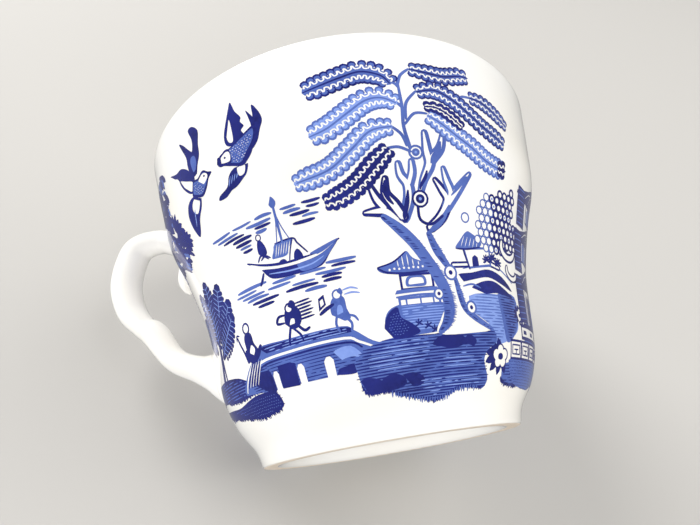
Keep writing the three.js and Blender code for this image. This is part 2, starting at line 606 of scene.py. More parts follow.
def grain(art, outline, ink, pitch=0.55, thick=0.16, slope=0.0, over=0.0):
    """Engraved level lines inside an outline, broken here and there; over lets them stick out."""
    outline = closed_spline(outline, 4)
    low, high = outline.min(0), outline.max(0)
    for y in np.arange(low[1] + pitch * 0.6, high[1], pitch):
        xs = np.arange(low[0], high[0], 0.35)
        line = np.c_[xs, y + slope * (xs - low[0])]
        hit = inside(line, outline)
        start = None
        for i, here in enumerate(hit):
            stop = not here or art.dice.random() < 0.06 or i == len(hit) - 1
            if start is not None and stop:
                if i - start > 2:
                    first = line[start] - (over * art.dice.random(), 0)
                    last = line[i - 1] + (over * art.dice.random(), 0)
                    art.stroke([first, line[(start + i) // 2], last], thick, ink, 0.4, 2)
                start = None
            elif start is None and here:
                start = i


def fringe(art, edge, ink, reach=0.42, pitch=0.27, thick=0.30):
    """Short uneven ticks that hang from an edge and make it ragged."""
    line = spline(edge, 10)
    lengths = np.r_[0, np.cumsum(np.hypot(*np.diff(line, axis=0).T))]
    for at in np.arange(0, lengths[-1], pitch):
        x = np.interp(at, lengths, line[:, 0])
        y = np.interp(at, lengths, line[:, 1])
        drop = reach * (0.25 + art.dice.random())
        lean = 0.3 * (art.dice.random() - 0.5)
        art.stroke([(x, y + 0.35), (x + lean, y - drop)], thick, ink, 0.5, 2)


def boat(art, x, y):
    """A covered boat with a short mast and a boatman at the stern."""
    old, art.shift = art.shift, art.shift + x

    def at(points):
        return [(px, py + y) for px, py in points]

    art.fill(at([
        (-6.4, 1.6), (-3.0, 0.9), (1.0, 0.6), (4.6, 1.0), (6.8, 1.9), (8.6, 2.9), (6.8, 1.0),
        (5.0, -0.7), (2.0, -1.0), (-2.0, -0.9), (-4.6, -0.4), (-5.8, 0.7),
    ]), DARK)
    art.fill(at([
        (0.6, 0.5), (4.4, 0.9), (6.8, 1.9), (8.4, 2.8), (6.6, 0.9), (4.6, -0.6), (2.0, -0.9),
        (0.8, -0.4),
    ]), MID)
    art.stroke(at([(-5.0, 0.5), (-1.0, -0.1), (3.0, -0.1), (5.6, 0.7)]), 0.26, PALE)
    art.stroke(at([
        (-9.0, 3.6), (-6.6, 2.5), (-3.4, 1.6), (0.6, 1.2), (4.2, 1.5), (6.6, 2.3), (8.7, 2.9),
    ]), 0.62, DARK)
    art.fill(at([(3.2, 1.6), (5.6, 2.3), (8.6, 3.0), (6.2, 1.7), (4.2, 1.2)]), MID)
    art.stroke(at([(-8.4, 3.1), (-6.0, 2.0), (-3.0, 1.2), (0.6, 0.95), (4.4, 1.25)]), 0.30, CLEAR, 0.6)
    art.stroke(at([(-6.2, 0.9), (-6.9, -0.2), (-7.4, -0.8)]), 0.5, DARK, 0.6)
    art.sharp(at([(-3.2, 3.2), (-1.9, 1.5), (3.4, 1.5), (2.1, 4.6), (0.4, 4.6)]), CLEAR)
    art.fill(at([
        (-3.6, 2.6), (-3.0, 3.9), (-2.3, 4.9), (0.8, 4.9), (0.0, 3.6), (-0.6, 2.6), (-2.0, 2.4),
    ]), MID)
    for i in range(6):
        art.stroke(at([(-2.9 + i * 0.5, 2.8), (-2.1 + i * 0.5, 4.6)]), 0.17, CLEAR)
    art.stroke(at([(-2.4, 4.9), (0.9, 4.9), (1.6, 3.9), (3.0, 2.0)]), 0.30, DARK, 0.7)
    art.stroke(at([(0.9, 4.8), (0.1, 3.2), (-0.5, 1.5)]), 0.24, DARK, 0.7)
    art.fill(at([(0.5, 1.3), (0.6, 2.4), (1.3, 3.0), (1.9, 2.3), (2.0, 1.3)]), DARK)
    art.fill(at([(-2.7, 1.4), (-2.2, 2.0), (-1.4, 2.0), (-1.1, 1.4)]), DARK)
    art.stroke(at([(-1.0, 4.9), (-0.95, 8.0), (-0.9, 11.0)]), 0.46, MID, 0.8)
    art.stroke(at([(-2.0, 5.0), (-1.4, 7.2), (-1.0, 9.2)]), 0.2, MID, 0.8)
    art.stroke(at([(0.4, 5.0), (-0.4, 7.2), (-0.8, 9.2)]), 0.2, MID, 0.8)
    art.fill(at([(-0.9, 12.6), (-0.25, 11.6), (-0.6, 10.7), (-1.2, 10.7), (-1.55, 11.6)]), MID)
    art.fill(at([(-6.0, 4.2), (-5.9, 5.6), (-5.3, 6.6), (-4.5, 5.6), (-4.3, 4.0), (-5.2, 3.6)]), DARK)
    art.ring(-5.2, y + 6.9, 0.6, 0.2, DARK)
    art.stroke(at([(-6.6, 3.0), (-5.6, 3.9), (-4.3, 2.9)]), 0.36, DARK)
    art.stroke(at([(-5.9, 3.1), (-4.9, 3.6), (-3.9, 3.0)]), 0.36, DARK)
    art.shift = old


def ring_foliage(art, outline, radius=0.80, dark_from=-math.inf):
    """A tree drawn as packed rings, bolder from some distance round the bowl."""
    outline = np.array(closed_spline(outline, 4))
    low, high = outline.min(0), outline.max(0)
    spots = []
    for row, y in enumerate(np.arange(low[1], high[1], radius * 1.62)):
        for x in np.arange(low[0] + radius * 0.95 * (row % 2), high[0], radius * 1.9):
            spots.append((x + 0.12 * y, y))
    spots = np.array(spots)
    spots = spots[inside(spots, outline)]
    for x, y in spots:
        bold = x > dark_from
        art.disc(x, y, radius * (1.12 if bold else 1.02), DARK if bold else MID, 12)
    for x, y in spots:
        art.disc(x, y, radius * (0.62 if x > dark_from else 0.74), CLEAR, 10)
        if x > dark_from and art.dice.random() < 0.4:
            art.disc(x, y, radius * 0.30, PALE, 6)


def leaf_tuft(art, x, y, size, ink=DARK, count=9, start=-25, sweep=230):
    """A fan of pointed leaves."""
    for i in range(count):
        turn = math.radians(start + sweep * i / (count - 1))
        reach = size * art.dice.uniform(0.85, 1.1)
        tip = (x + reach * math.cos(turn), y + reach * math.sin(turn))
        middle = (x + reach * 0.55 * math.cos(turn + 0.12), y + reach * 0.55 * math.sin(turn + 0.12))
        art.stroke([(x, y), middle, tip], size * 0.34, ink, 0.2, 3)


def plume_tree(art, x, y, wide, tall, ink=DARK):
    """A bushy tree of feathery plumes on a forked trunk."""
    art.limb([(x - 1.6, y, 1.3), (x - 0.4, y + tall * 0.22, 0.9), (x + 0.2, y + tall * 0.5, 0.6)], ink)
    art.limb([
        (x + 0.2, y, 0.6), (x + 0.1, y + tall * 0.25, 0.5), (x + wide * 0.12, y + tall * 0.5, 0.3),
    ], ink)
    plumes = [
        (-0.26, 0.50, 100), (0.02, 0.56, 82), (0.26, 0.46, 62), (-0.34, 0.28, 124), (0.32, 0.26, 48),
        (0.0, 0.34, 92), (0.18, 0.14, 38),
    ]
    for dx, dy, lean in plumes:
        turn = math.radians(lean)
        root = np.array([x + dx * wide * 0.5, y + tall * (0.12 + dy * 0.62)])
        tip = root + tall * 0.42 * np.array([math.cos(turn), math.sin(turn)])
        spine = [root, (root + tip) / 2, tip]
        art.limb([(*root, wide * 0.10), (*((root + tip) / 2), wide * 0.34), (*tip, wide * 0.18)], ink)
        across = np.array([-math.sin(turn), math.cos(turn)])
        for i in range(9):
            spot = root + (tip - root) * (i + 1) / 9.5
            half = wide * 0.19 * math.sin(math.pi * (0.15 + 0.75 * (i + 1) / 10))
            for side in (1, -1):
                art.disc(*(spot + across * side * half), 0.42, ink, 7)
                end = spot + across * side * half * 0.85 + (tip - root) * 0.06
                art.stroke([spot, end], 0.14, PALE, 0.6)
        art.stroke(spine, 0.2, PALE)


def roof(art, x, y, wide, tall, ink=MID, edge=DARK):
    """An upswept tiled roof; x, y is the middle of its eave."""
    half = wide / 2
    art.fill([
        (x - half, y + 0.6), (x - half * 0.86, y - 0.1), (x, y - 0.25), (x + half * 0.86, y - 0.1),
        (x + half, y + 0.6), (x + half * 0.6, y + tall * 0.42), (x + half * 0.28, y + tall * 0.8),
        (x, y + tall), (x - half * 0.28, y + tall * 0.8), (x - half * 0.6, y + tall * 0.42),
    ], ink)
    for i in range(-3, 4):
        top = x + i * half * 0.07
        foot = x + i * half * 0.23
        art.stroke([
            (top, y + tall * (0.82 - abs(i) * 0.07)), ((top + foot) / 2, y + tall * 0.45),
            (foot, y + 0.3),
        ], 0.20, CLEAR)
    art.stroke([
        (x - half, y + 0.7), (x - half * 0.8, y - 0.05), (x, y - 0.2), (x + half * 0.8, y - 0.05),
        (x + half, y + 0.7),
    ], 0.42, edge, 0.5)


def storey(art, x, y, wide, tall, bays=3, ink=DARK):
    """A wall with posts and dark windows; x is its middle, y its floor."""
    half = wide / 2
    art.sharp([(x - half, y), (x + half, y), (x + half, y + tall), (x - half, y + tall)], ink)
    art.sharp([
        (x - half + 0.3, y + 0.3), (x + half - 0.3, y + 0.3), (x + half - 0.3, y + tall - 0.3),
        (x - half + 0.3, y + tall - 0.3),
    ], CLEAR)
    bay = (wide - 0.6) / bays
    for i in range(bays):
        left = x - half + 0.3 + bay * i
        art.sharp([
            (left + bay * 0.2, y + 0.3), (left + bay * 0.8, y + 0.3),
            (left + bay * 0.8, y + tall * 0.72), (left + bay * 0.5, y + tall * 0.84),
            (left + bay * 0.2, y + tall * 0.72),
        ], ink if i % 2 else MID)
        art.stroke([(left, y + 0.2), (left, y + tall - 0.2)], 0.22, ink, 0.9)


def fret_fence(art, left, right, y, tall, ink=DARK):
    """A white fence with a stepped fret in every panel."""
    art.sharp([(left, y), (right, y), (right, y + tall), (left, y + tall)], ink)
    panels = max(1, round((right - left) / 4.4))
    step = (right - left) / panels
    for i in range(panels):
        x0, x1 = left + step * i + 0.3, left + step * (i + 1) - 0.3
        art.sharp([(x0, y + 0.4), (x1, y + 0.4), (x1, y + tall - 0.4), (x0, y + tall - 0.4)], CLEAR)
        w, h = x1 - x0, tall - 0.8
        for fx, fy, gx, gy in (
            (0.12, 0.2, 0.88, 0.2), (0.12, 0.8, 0.88, 0.8), (0.12, 0.2, 0.12, 0.8),
            (0.88, 0.2, 0.88, 0.8), (0.32, 0.5, 0.68, 0.5), (0.5, 0.2, 0.5, 0.5),
        ):
            art.stroke([
                (x0 + fx * w, y + 0.4 + fy * h), (x0 + gx * w, y + 0.4 + gy * h),
            ], 0.24, ink, 0.9)


def scroll(art, x, y, size, ink=DARK, flip=1):
    """A white curled eave end with a dark outline."""
    turns = np.radians(np.linspace(200, 20, 8))
    points = [(x + flip * size * math.cos(t), y - size * 0.75 * math.sin(t)) for t in turns]
    art.stroke(points, size * 0.72, ink, 0.6)
    art.stroke(points, size * 0.38, CLEAR, 0.6)


# ---------------------------------------------------------------- the print's scenes

def left_bird(art):
    """The bird that swoops in from the left."""
    art.fill([
        (-25.6, 51.6), (-26.2, 54.5), (-26.2, 56.5), (-27.4, 59.9), (-26.4, 59.2), (-25.0, 57.2),
        (-24.3, 56.6), (-23.9, 58.6), (-24.4, 60.8), (-23.3, 61.0), (-22.1, 59.4), (-22.6, 57.0),
        (-22.8, 55.0), (-23.6, 53.4), (-24.4, 51.6),
    ], DARK)
    art.fill([
        (-24.9, 52.6), (-25.3, 54.6), (-24.9, 55.6), (-24.0, 55.4), (-23.8, 54.0), (-24.4, 52.6),
    ], MID)
    art.fill([
        (-32.5, 56.6), (-30.2, 55.6), (-28.2, 55.4), (-26.4, 54.0), (-25.0, 51.8), (-25.6, 50.4),
        (-26.4, 49.3), (-27.6, 50.0), (-29.0, 52.0), (-29.8, 54.2), (-31.2, 55.2),
    ], DARK)
    art.fill([
        (-29.2, 53.4), (-27.6, 52.4), (-25.6, 51.0), (-26.4, 49.7), (-27.4, 50.5), (-28.6, 52.0),
    ], CLEAR)
    art.fill([
        (-26.6, 48.7), (-28.6, 48.2), (-29.9, 46.4), (-30.1, 44.0), (-29.4, 42.0), (-28.4, 42.8),
        (-27.2, 44.6), (-25.5, 46.2), (-24.9, 47.8),
    ], DARK)
    art.fill([
        (-26.6, 48.2), (-27.7, 47.5), (-28.0, 46.4), (-27.2, 45.6), (-26.0, 46.4), (-25.4, 47.5),
    ], CLEAR)
    for i in range(5):
        art.stroke([(-28.9 + 0.25 * i, 43.9 + 0.55 * i), (-28.2 + 0.2 * i, 45.0 + 0.4 * i)], 0.15, PALE)
    art.fill([
        (-25.7, 51.2), (-24.3, 51.0), (-22.8, 51.7), (-21.7, 50.9), (-20.9, 50.4), (-21.9, 49.6),
        (-22.8, 48.4), (-24.2, 47.5), (-25.6, 48.0), (-26.9, 49.2),
    ], DARK)
    art.fill([
        (-25.6, 50.8), (-24.2, 50.6), (-22.9, 51.3), (-22.0, 50.6), (-22.3, 49.6), (-23.2, 48.6),
        (-24.3, 48.0), (-25.5, 48.5), (-26.4, 49.3),
    ], MID)
    art.fill([(-24.3, 50.4), (-22.9, 51.2), (-21.9, 50.5), (-22.4, 49.7), (-23.5, 49.3)], CLEAR)
    breast = [(-25.8, 50.4), (-24.6, 50.2), (-23.6, 49.0), (-24.3, 48.2), (-26.2, 49.2)]
    stipple(art, breast, CLEAR, 0.46, 0.26, 0.18)
    stipple(art, breast, DARK, 0.6, 0.3, 0.16)
    art.disc(-22.7, 50.6, 0.2, DARK, 8)


def right_bird(art):
    """The bird that turns to meet it."""
    art.fill([
        (-13.4, 52.6), (-12.2, 54.2), (-12.3, 56.0), (-12.6, 57.7), (-11.9, 56.6), (-11.6, 56.2),
        (-11.5, 58.3), (-10.7, 57.0), (-10.2, 55.0), (-10.8, 53.4), (-11.6, 51.4), (-13.0, 50.4),
    ], DARK)
    art.fill([
        (-15.0, 60.6), (-14.4, 58.6), (-13.6, 57.0), (-13.8, 56.2), (-13.3, 55.2), (-13.9, 54.6),
        (-13.6, 53.4), (-15.6, 52.6), (-16.9, 53.2), (-17.1, 55.0), (-16.2, 57.6),
    ], DARK)
    art.fill([(-15.7, 57.6), (-15.5, 55.6), (-15.6, 53.4), (-16.4, 53.6), (-16.6, 55.2)], CLEAR)
    art.fill([
        (-16.4, 48.8), (-17.8, 48.0), (-18.8, 46.4), (-20.8, 45.7), (-21.2, 45.0), (-19.6, 44.9),
        (-18.2, 45.5), (-17.0, 45.7), (-15.6, 46.4), (-14.5, 47.2), (-14.0, 48.8),
    ], DARK)
    art.fill([(-16.0, 48.6), (-16.0, 47.2), (-15.0, 47.2), (-14.5, 48.4), (-15.2, 48.7)], CLEAR)
    for i in range(4):
        art.stroke([(-18.4 + 0.6 * i, 46.4 + 0.2 * i), (-17.6 + 0.5 * i, 47.8)], 0.16, PALE)
    art.fill([
        (-18.8, 51.9), (-17.6, 52.4), (-16.2, 52.6), (-13.6, 53.8), (-11.6, 54.6), (-11.3, 52.8),
        (-12.4, 50.8), (-13.2, 49.6), (-14.8, 48.5), (-16.6, 49.2), (-18.2, 50.0), (-19.0, 50.4),
    ], DARK)
    art.fill([
        (-17.6, 52.0), (-16.0, 52.4), (-13.6, 53.4), (-12.0, 54.0), (-12.3, 52.2), (-13.6, 50.6),
        (-15.0, 49.2), (-16.6, 49.8), (-18.2, 50.4),
    ], MID)
    breast = [
        (-16.4, 52.2), (-13.6, 53.2), (-12.4, 53.4), (-12.6, 52.0), (-13.8, 50.4), (-15.0, 49.4),
        (-17.4, 50.3),
    ]
    stipple(art, breast, CLEAR, 0.5, 0.28, 0.19)
    stipple(art, breast, DARK, 0.64, 0.32, 0.17)
    art.fill([
        (-19.2, 51.9), (-18.5, 52.0), (-17.4, 52.6), (-16.6, 52.2), (-16.6, 50.0), (-17.8, 50.0),
        (-19.0, 50.2), (-19.5, 51.2),
    ], DARK)
    art.fill([
        (-18.5, 51.6), (-17.4, 52.2), (-16.7, 51.8), (-16.8, 50.4), (-17.8, 50.4), (-18.7, 50.8),
    ], CLEAR)
    art.disc(-17.7, 51.3, 0.2, DARK, 8)


# Each frond's spine from its root, its width, its ink and the ink of its edge.
FRONDS = [
    ([(9.0, 56.9), (7.8, 58.4), (5, 59.3), (2, 58.6), (-1, 57.8), (-3.6, 57.2)], 3.9, MID, DARK),
    ([(9.4, 53.2), (7.4, 54.2), (5, 53.9), (2, 51.9), (-1, 50.0), (-3.8, 49.2)], 3.8, PALE, MID),
    ([(8.2, 49.0), (5, 48.5), (2, 46.0), (-2, 43.3), (-7.2, 42.5)], 3.4, PALE, MID),
    ([(7.4, 45.4), (5, 43.0), (2, 40.2), (-1, 38.7), (-3.2, 38.3)], 3.2, DARK, DARK),
    ([(12.4, 59.7), (15, 59.3), (18, 59.1), (21, 60.0), (22.8, 60.2)], 2.9, MID, DARK),
    ([(22.6, 56.1), (25, 56.0), (28, 55.0), (31, 53.6)], 2.9, MID, DARK),
    ([(13.0, 55.4), (16, 56.0), (19, 54.7), (22, 52.6), (25, 50.8), (29.8, 49.3)], 3.1, MID, DARK),
    ([
        (14.2, 51.0), (16, 50.0), (19, 48.0), (22, 46.5), (25, 45.0), (28, 44.4), (30.6, 44.5),
    ], 3.3, PALE, MID),
    ([(13.9, 52.7), (15.6, 52.7), (17.4, 51.9), (20, 49.9)], 1.5, DARK, DARK),
    ([(28.6, 44.4), (30.9, 44.5)], 3.2, DARK, DARK),
]


def willow(art, fronds=FRONDS):
    """Fronds that hang from a thin stem, each drawn on its own spine."""
    art.limb([(10.2, 57.5, 0.4), (10.3, 53, 0.5), (10.1, 49, 0.55), (10.8, 45.5, 0.6)], MID)
    for stem in (
        [(10.2, 56.6), (10.8, 58.4), (12.2, 59.7)],
        [(10.3, 56.0), (9.8, 56.8), (8.8, 57.4)],
        [(10.2, 52.4), (9.8, 53.0), (9.2, 53.4)],
        [(10.6, 50.3), (11.0, 53.2), (12.8, 55.5)],
        [(10.4, 49.4), (12.0, 51.3), (14.0, 51.4)],
        [(8.0, 49.2), (9.6, 47.7), (10.3, 45.8)],
        [(7.2, 45.5), (9.0, 45.6), (10.9, 44.8)],
        [(19.9, 54.8), (21.0, 55.9), (22.8, 56.1)],
    ):
        art.stroke(stem, 0.5, MID, 0.7)
    for spine, width, ink, edge in fronds:
        frond(art, spine, width, ink, edge)


def old_tree(art):
    """The bare forked tree on the bank."""
    branches = [
        ([
            (13.3, 48.0, 0.3), (13.6, 45.0, 1.0), (14.0, 42.8, 1.2), (12.8, 40.2, 0.7),
            (12.2, 38.4, 0.4),
        ], MID),
        ([(16.4, 48.0, 0.2), (15.9, 45.6, 0.9), (14.4, 43.6, 1.0), (13.6, 42.0, 0.8)], MID),
        ([
            (8.7, 42.9, 0.3), (9.0, 41.0, 0.8), (10.0, 39.4, 1.1), (10.0, 37.0, 1.3),
            (8.9, 34.0, 1.0),
        ], MID),
        ([(10.9, 43.2, 0.3), (10.9, 41.4, 0.7), (10.3, 39.6, 0.8)], MID),
        ([(2.5, 35.4, 0.2), (4.4, 35.4, 0.9), (6.0, 35.2, 1.2), (7.6, 33.6, 1.2)], DARK),
        ([(3.9, 39.6, 0.2), (4.7, 37.4, 0.9), (5.8, 35.8, 1.0)], DARK),
        ([(6.4, 40.6, 0.3), (6.2, 38.2, 0.9), (7.4, 36.2, 1.4), (8.6, 34.2, 1.3)], DARK),
        ([
            (14.8, 40.2, 0.2), (16.0, 38.6, 0.8), (17.0, 36.8, 1.1), (15.6, 34.0, 1.3),
            (13.4, 32.2, 1.0),
        ], DARK),
        ([(16.4, 42.2, 0.2), (17.0, 40.2, 0.8), (17.8, 38.2, 1.0), (17.2, 36.6, 0.9)], MID),
        ([(21.6, 41.8, 0.2), (19.8, 39.6, 0.9), (18.2, 37.6, 1.2), (16.8, 35.8, 1.2)], MID),
    ]
    for points, edge in branches:
        art.limb(points, edge, 0.46)
    for points, _ in branches:
        art.limb([(x - 0.14, y + 0.08, wide * 0.8) for x, y, wide in points], CLEAR)
    for points, edge in (
        ([(15.9, 46.6, 0.3), (15.6, 45.4, 0.8), (14.6, 44.0, 0.7), (14.2, 43.0, 0.2)], MID),
        ([(13.4, 41.6, 0.3), (13.1, 40.6, 0.6), (12.2, 39.2, 0.5), (12.1, 38.6, 0.2)], DARK),
        ([(6.3, 40.2, 0.4), (6.1, 38.8, 0.8), (6.5, 37.4, 0.7), (7.2, 36.4, 0.3)], DARK),
        ([(9.9, 38.4, 0.3), (9.6, 36.6, 0.8), (9.0, 34.6, 0.8), (8.8, 33.8, 0.3)], DARK),
        ([(21.0, 41.2, 0.4), (19.8, 40.0, 0.8), (18.6, 38.6, 0.5), (17.8, 37.8, 0.2)], MID),
        ([(17.2, 36.0, 0.3), (16.0, 34.0, 0.9), (14.6, 32.6, 1.1), (13.2, 31.6, 0.6)], MID),
    ):
        art.limb(points, edge)
    art.limb([(11.4, 36.2, 0.5), (11.6, 33.6, 0.5), (13.6, 32.8, 0.5), (15.8, 34.2, 0.5)], DARK)
    art.fill([
        (5.2, 34.6), (8.4, 33.4), (11.0, 30.6), (13.0, 31.6), (14.4, 29.6), (16.6, 25.6),
        (17.4, 22.0), (18.6, 19.0), (24.0, 15.6), (19.0, 14.8), (12.0, 15.0), (13.0, 17.6),
        (14.6, 20.6), (11.4, 26.6), (8.6, 30.4),
    ], CLEAR)
    left = [
        (5.4, 34.4, 1.1), (7.8, 32.2, 1.8), (10.0, 29.8, 2.0), (11.9, 27.0, 2.1), (13.4, 24.4, 2.2),
        (14.6, 21.6, 2.2), (14.8, 18.8, 2.1), (13.9, 16.7, 1.7), (12.4, 15.3, 0.9),
    ]
    right = [
        (12.9, 31.2, 1.0), (14.0, 28.6, 1.5), (15.4, 26.4, 1.3), (16.8, 24.2, 0.8),
        (17.4, 21.4, 1.1), (18.2, 18.8, 1.2), (20.6, 17.0, 1.1), (24.0, 15.4, 0.7),
    ]
    for band in (left, right):
        art.limb(band, MID)
        for x, y, wide in spline(band, 9):
            reach = wide * art.dice.uniform(0.55, 0.85)
            art.stroke([(x, y), (x + reach, y - 0.22)], 0.24, MID, 0.3)
            if art.dice.random() < 0.5:
                art.stroke([(x - wide * 0.45, y), (x + wide * 0.1, y - 0.1)], 0.16, DARK, 0.3)
    for x, y, size in ((16.2, 24.7, 1.35), (19.6, 18.9, 1.2), (13.2, 21.3, 1.05)):
        art.ring(x, y, size, 0.35, MID)
        art.disc(x, y, size * 0.3, DARK, 8)
    for x, y, size, edge in ((11.7, 44.7, 1.25, MID), (11.9, 37.0, 1.5, DARK)):
        art.ring(x, y, size, 0.36, edge)
        art.ring(x, y, size * 0.52, size * 0.34, edge, PALE)


def water(art):
    dashes(art, [
        (39.3, -26.6, -21.8, -20.9, -16.9, -15.9, -12.8, -11.0, -8.4, -7.2, -4.3),
        (38.5, -25.4, -20.2, -18.0, -13.2, -10.6, -7.8, -6.6, -4.6),
        (37.8, -24.0, -19.0, -16.4, -13.4, -9.6, -6.4), (37.1, -21.8, -17.6, -16.4, -14.4, -7.6, -5.0),
        (36.3, -21.4, -17.9, -9.4, -5.8), (35.6, -20.6, -18.2), (34.9, -20.2, -18.2),
        (28.8, -24.6, -17.4, -5.4, -0.4), (28.1, -25.2, -20.0, -16.0, -11.4, -10.4, -5.8, -4.6, -0.6),
        (27.4, -23.8, -18.2, -17.2, -12.6, -7.6, -2.4), (26.7, -22.6, -17.4, -12.2, -8.0, -6.6, -3.2),
        (26.0, -21.4, -15.4, -13.6, -7.6, -6.4, -3.4), (25.2, -20.2, -16.6, -10.0, -6.2),
    ], DARK, 0.54)


def bridge(art):
    """A three-arched footbridge with a sloping ramp at each end."""
    art.fill([
        (-29.5, 12.2), (-27.4, 15.2), (-24.6, 17.3), (-22.4, 18.9), (-15, 18.6), (-5, 18.4),
        (-2.8, 17.4), (0, 15.4), (3.4, 14.0), (1.0, 12.8), (-3.6, 11.8), (-5, 11.2), (-20.2, 11.4),
        (-21.0, 11.4),
    ], MID)
    art.fill([
        (-22.3, 18.7), (-15, 18.4), (-5, 18.2), (-3.0, 17.4), (-5, 17.2), (-15, 17.4),
        (-21.8, 17.6),
    ], DARK)
    grain(art, [(-22.0, 18.5), (-12, 18.3), (-5, 18.2), (-5, 17.2), (-21.6, 17.4)], PALE, 0.42, 0.17)
    art.limb([
        (-25.6, 14.6, 0.5), (-22.6, 16.4, 0.45), (-15, 16.6, 0.42), (-4.8, 16.5, 0.42),
        (-2.4, 15.6, 0.4), (0.6, 14.2, 0.3),
    ], CLEAR)
    art.stroke([(-25.2, 13.8), (-22.2, 15.7), (-15, 15.9), (-4.6, 15.8), (-2.0, 14.7)], 0.34, DARK, 0.8)
    art.limb([(-25.0, 16.8, 0.3), (-27.6, 14.4, 0.4), (-29.0, 12.6, 0.3)], CLEAR)
    grain(art, [(-22, 15.4), (-5, 15.4), (-5, 11.6), (-22, 11.6)], DARK, 0.5, 0.16)
    grain(art, [(-27.6, 14.6), (-23.6, 15.8), (-21.0, 15.6), (-21.0, 12), (-27.6, 12)], DARK, 0.42, 0.2)
    art.sharp([(-18.9, 11.3), (-15.0, 11.1), (-14.8, 14.6), (-16.0, 15.0), (-18.8, 15.0)], DARK)
    art.fill([
        (-21.0, 14.8), (-20.4, 12.0), (-21.4, 11.0), (-24.6, 12.6), (-26.8, 14.2), (-23.6, 15.2),
    ], DARK)
    art.fill([(-7.4, 11.3), (-3.9, 11.0), (-3.2, 12.4), (-5.4, 12.3), (-7.2, 12.0)], DARK)
    art.fill([(-7.2, 14.8), (-4.0, 15.2), (-2.0, 13.2), (-4.2, 13.6), (-6.4, 13.4)], PALE)
    for i in range(4):
        art.stroke([
            (-27.9 + i * 0.9, 13.2), (-26.2 + i * 0.8, 15.2), (-24.7 + i * 0.7, 17.0),
        ], 0.34, DARK, 0.7)
        art.stroke([
            (-27.5 + i * 0.9, 13.2), (-25.8 + i * 0.8, 15.2), (-24.4 + i * 0.7, 16.8),
        ], 0.22, CLEAR, 0.7)
    for left, right in ((-20.3, -19.0), (-14.7, -13.3), (-9.2, -7.5)):
        middle = (left + right) / 2
        art.sharp([
            (left, 10.6), (right, 10.6), (right + 0.05, 13.7), (middle + 0.35, 14.3),
            (middle - 0.35, 14.3), (left - 0.05, 13.7),
        ], CLEAR)


def walkers(art):
    """Three robed walkers, a few brush strokes each."""
    art.fill([
        (-26.0, 17.0), (-25.8, 19.2), (-25.9, 21.2), (-24.9, 22.2), (-23.7, 21.6), (-23.4, 20.0),
        (-22.5, 18.4), (-24.2, 17.4),
    ], DARK)
    art.limb([
        (-25.8, 18.8, 0.9), (-24.6, 17.4, 1.1), (-23.0, 17.8, 0.9), (-21.8, 19.0, 0.4),
    ], DARK, 0.15)
    art.fill([(-25.0, 18.6), (-24.2, 19.8), (-23.4, 18.9), (-24.2, 17.9)], CLEAR)
    art.ring(-24.8, 22.8, 1.05, 0.34, DARK)
    art.stroke([(-27.9, 21.9), (-27.4, 20.6), (-26.6, 19.0), (-26.0, 17.2)], 0.42, DARK, 0.7)
    art.stroke([(-28.3, 21.4), (-28.0, 22.3), (-27.2, 22.1)], 0.34, DARK)

    art.fill([
        (-15.2, 21.0), (-14.8, 23.0), (-13.6, 23.6), (-12.0, 22.8), (-11.8, 21.0), (-12.8, 19.9),
        (-14.4, 20.0),
    ], DARK)
    art.stroke([(-14.8, 22.4), (-16.3, 22.4), (-16.8, 21.4), (-15.2, 21.2)], 0.5, DARK)
    for i in range(6):
        height = 21.0 + 0.55 * i
        art.stroke([
            (-12.8, height), (-10.8, height + 0.1), (-9.2 - 0.4 * (i % 2), height + 0.2),
        ], 0.34, DARK, 0.2)
    art.fill([(-14.3, 20.6), (-13.9, 21.5), (-13.2, 21.4), (-13.4, 20.5)], CLEAR)
    art.stroke([(-14.2, 20.4), (-14.8, 18.8), (-15.0, 17.6)], 0.5, DARK, 0.8)
    art.stroke([(-12.8, 20.3), (-11.6, 19.2), (-10.6, 19.4)], 0.5, DARK, 0.8)
    art.stroke([(-14.0, 20.2), (-12.6, 18.8), (-12.2, 17.8)], 0.4, DARK, 0.8)
    art.ring(-13.9, 23.3, 0.9, 0.3, DARK)
    art.fill([(-14.0, 23.6), (-13.4, 24.5), (-12.6, 24.1), (-12.6, 23.2), (-13.3, 23.0)], DARK)

    art.fill([
        (-6.2, 20.4), (-6.0, 22.4), (-5.0, 23.2), (-3.6, 22.8), (-3.4, 21.0), (-3.0, 19.4),
        (-4.6, 19.2),
    ], MID)
    art.stroke([(-5.6, 22.0), (-7.0, 21.5), (-8.2, 20.9)], 0.62, DARK, 0.6)
    art.sharp([(-8.3, 21.4), (-6.9, 22.2), (-7.0, 23.9), (-8.1, 23.4)], DARK)
    art.sharp([(-7.9, 22.0), (-7.2, 22.4), (-7.3, 23.3), (-7.9, 23.0)], CLEAR)
    art.stroke([(-3.6, 23.9), (-2.2, 24.1), (-0.9, 23.7)], 0.3, PALE)
    art.stroke([(-3.4, 23.2), (-2.0, 23.3), (-0.7, 23.0)], 0.3, PALE)
    art.fill([(-5.2, 20.2), (-4.9, 21.6), (-4.2, 21.5), (-4.2, 20.2)], PALE)
    art.stroke([(-5.4, 20.0), (-5.7, 18.8), (-5.3, 17.7)], 0.45, MID, 0.8)
    art.stroke([(-4.0, 19.8), (-3.0, 18.6), (-3.2, 17.4)], 0.45, MID, 0.8)
    art.stroke([(-3.8, 20.0), (-2.4, 19.6), (-1.8, 18.8)], 0.4, MID, 0.6)
    art.ring(-4.7, 23.4, 0.9, 0.28, MID)
    art.fill([(-4.6, 23.8), (-4.0, 24.4), (-3.6, 23.6), (-4.1, 23.2)], MID)


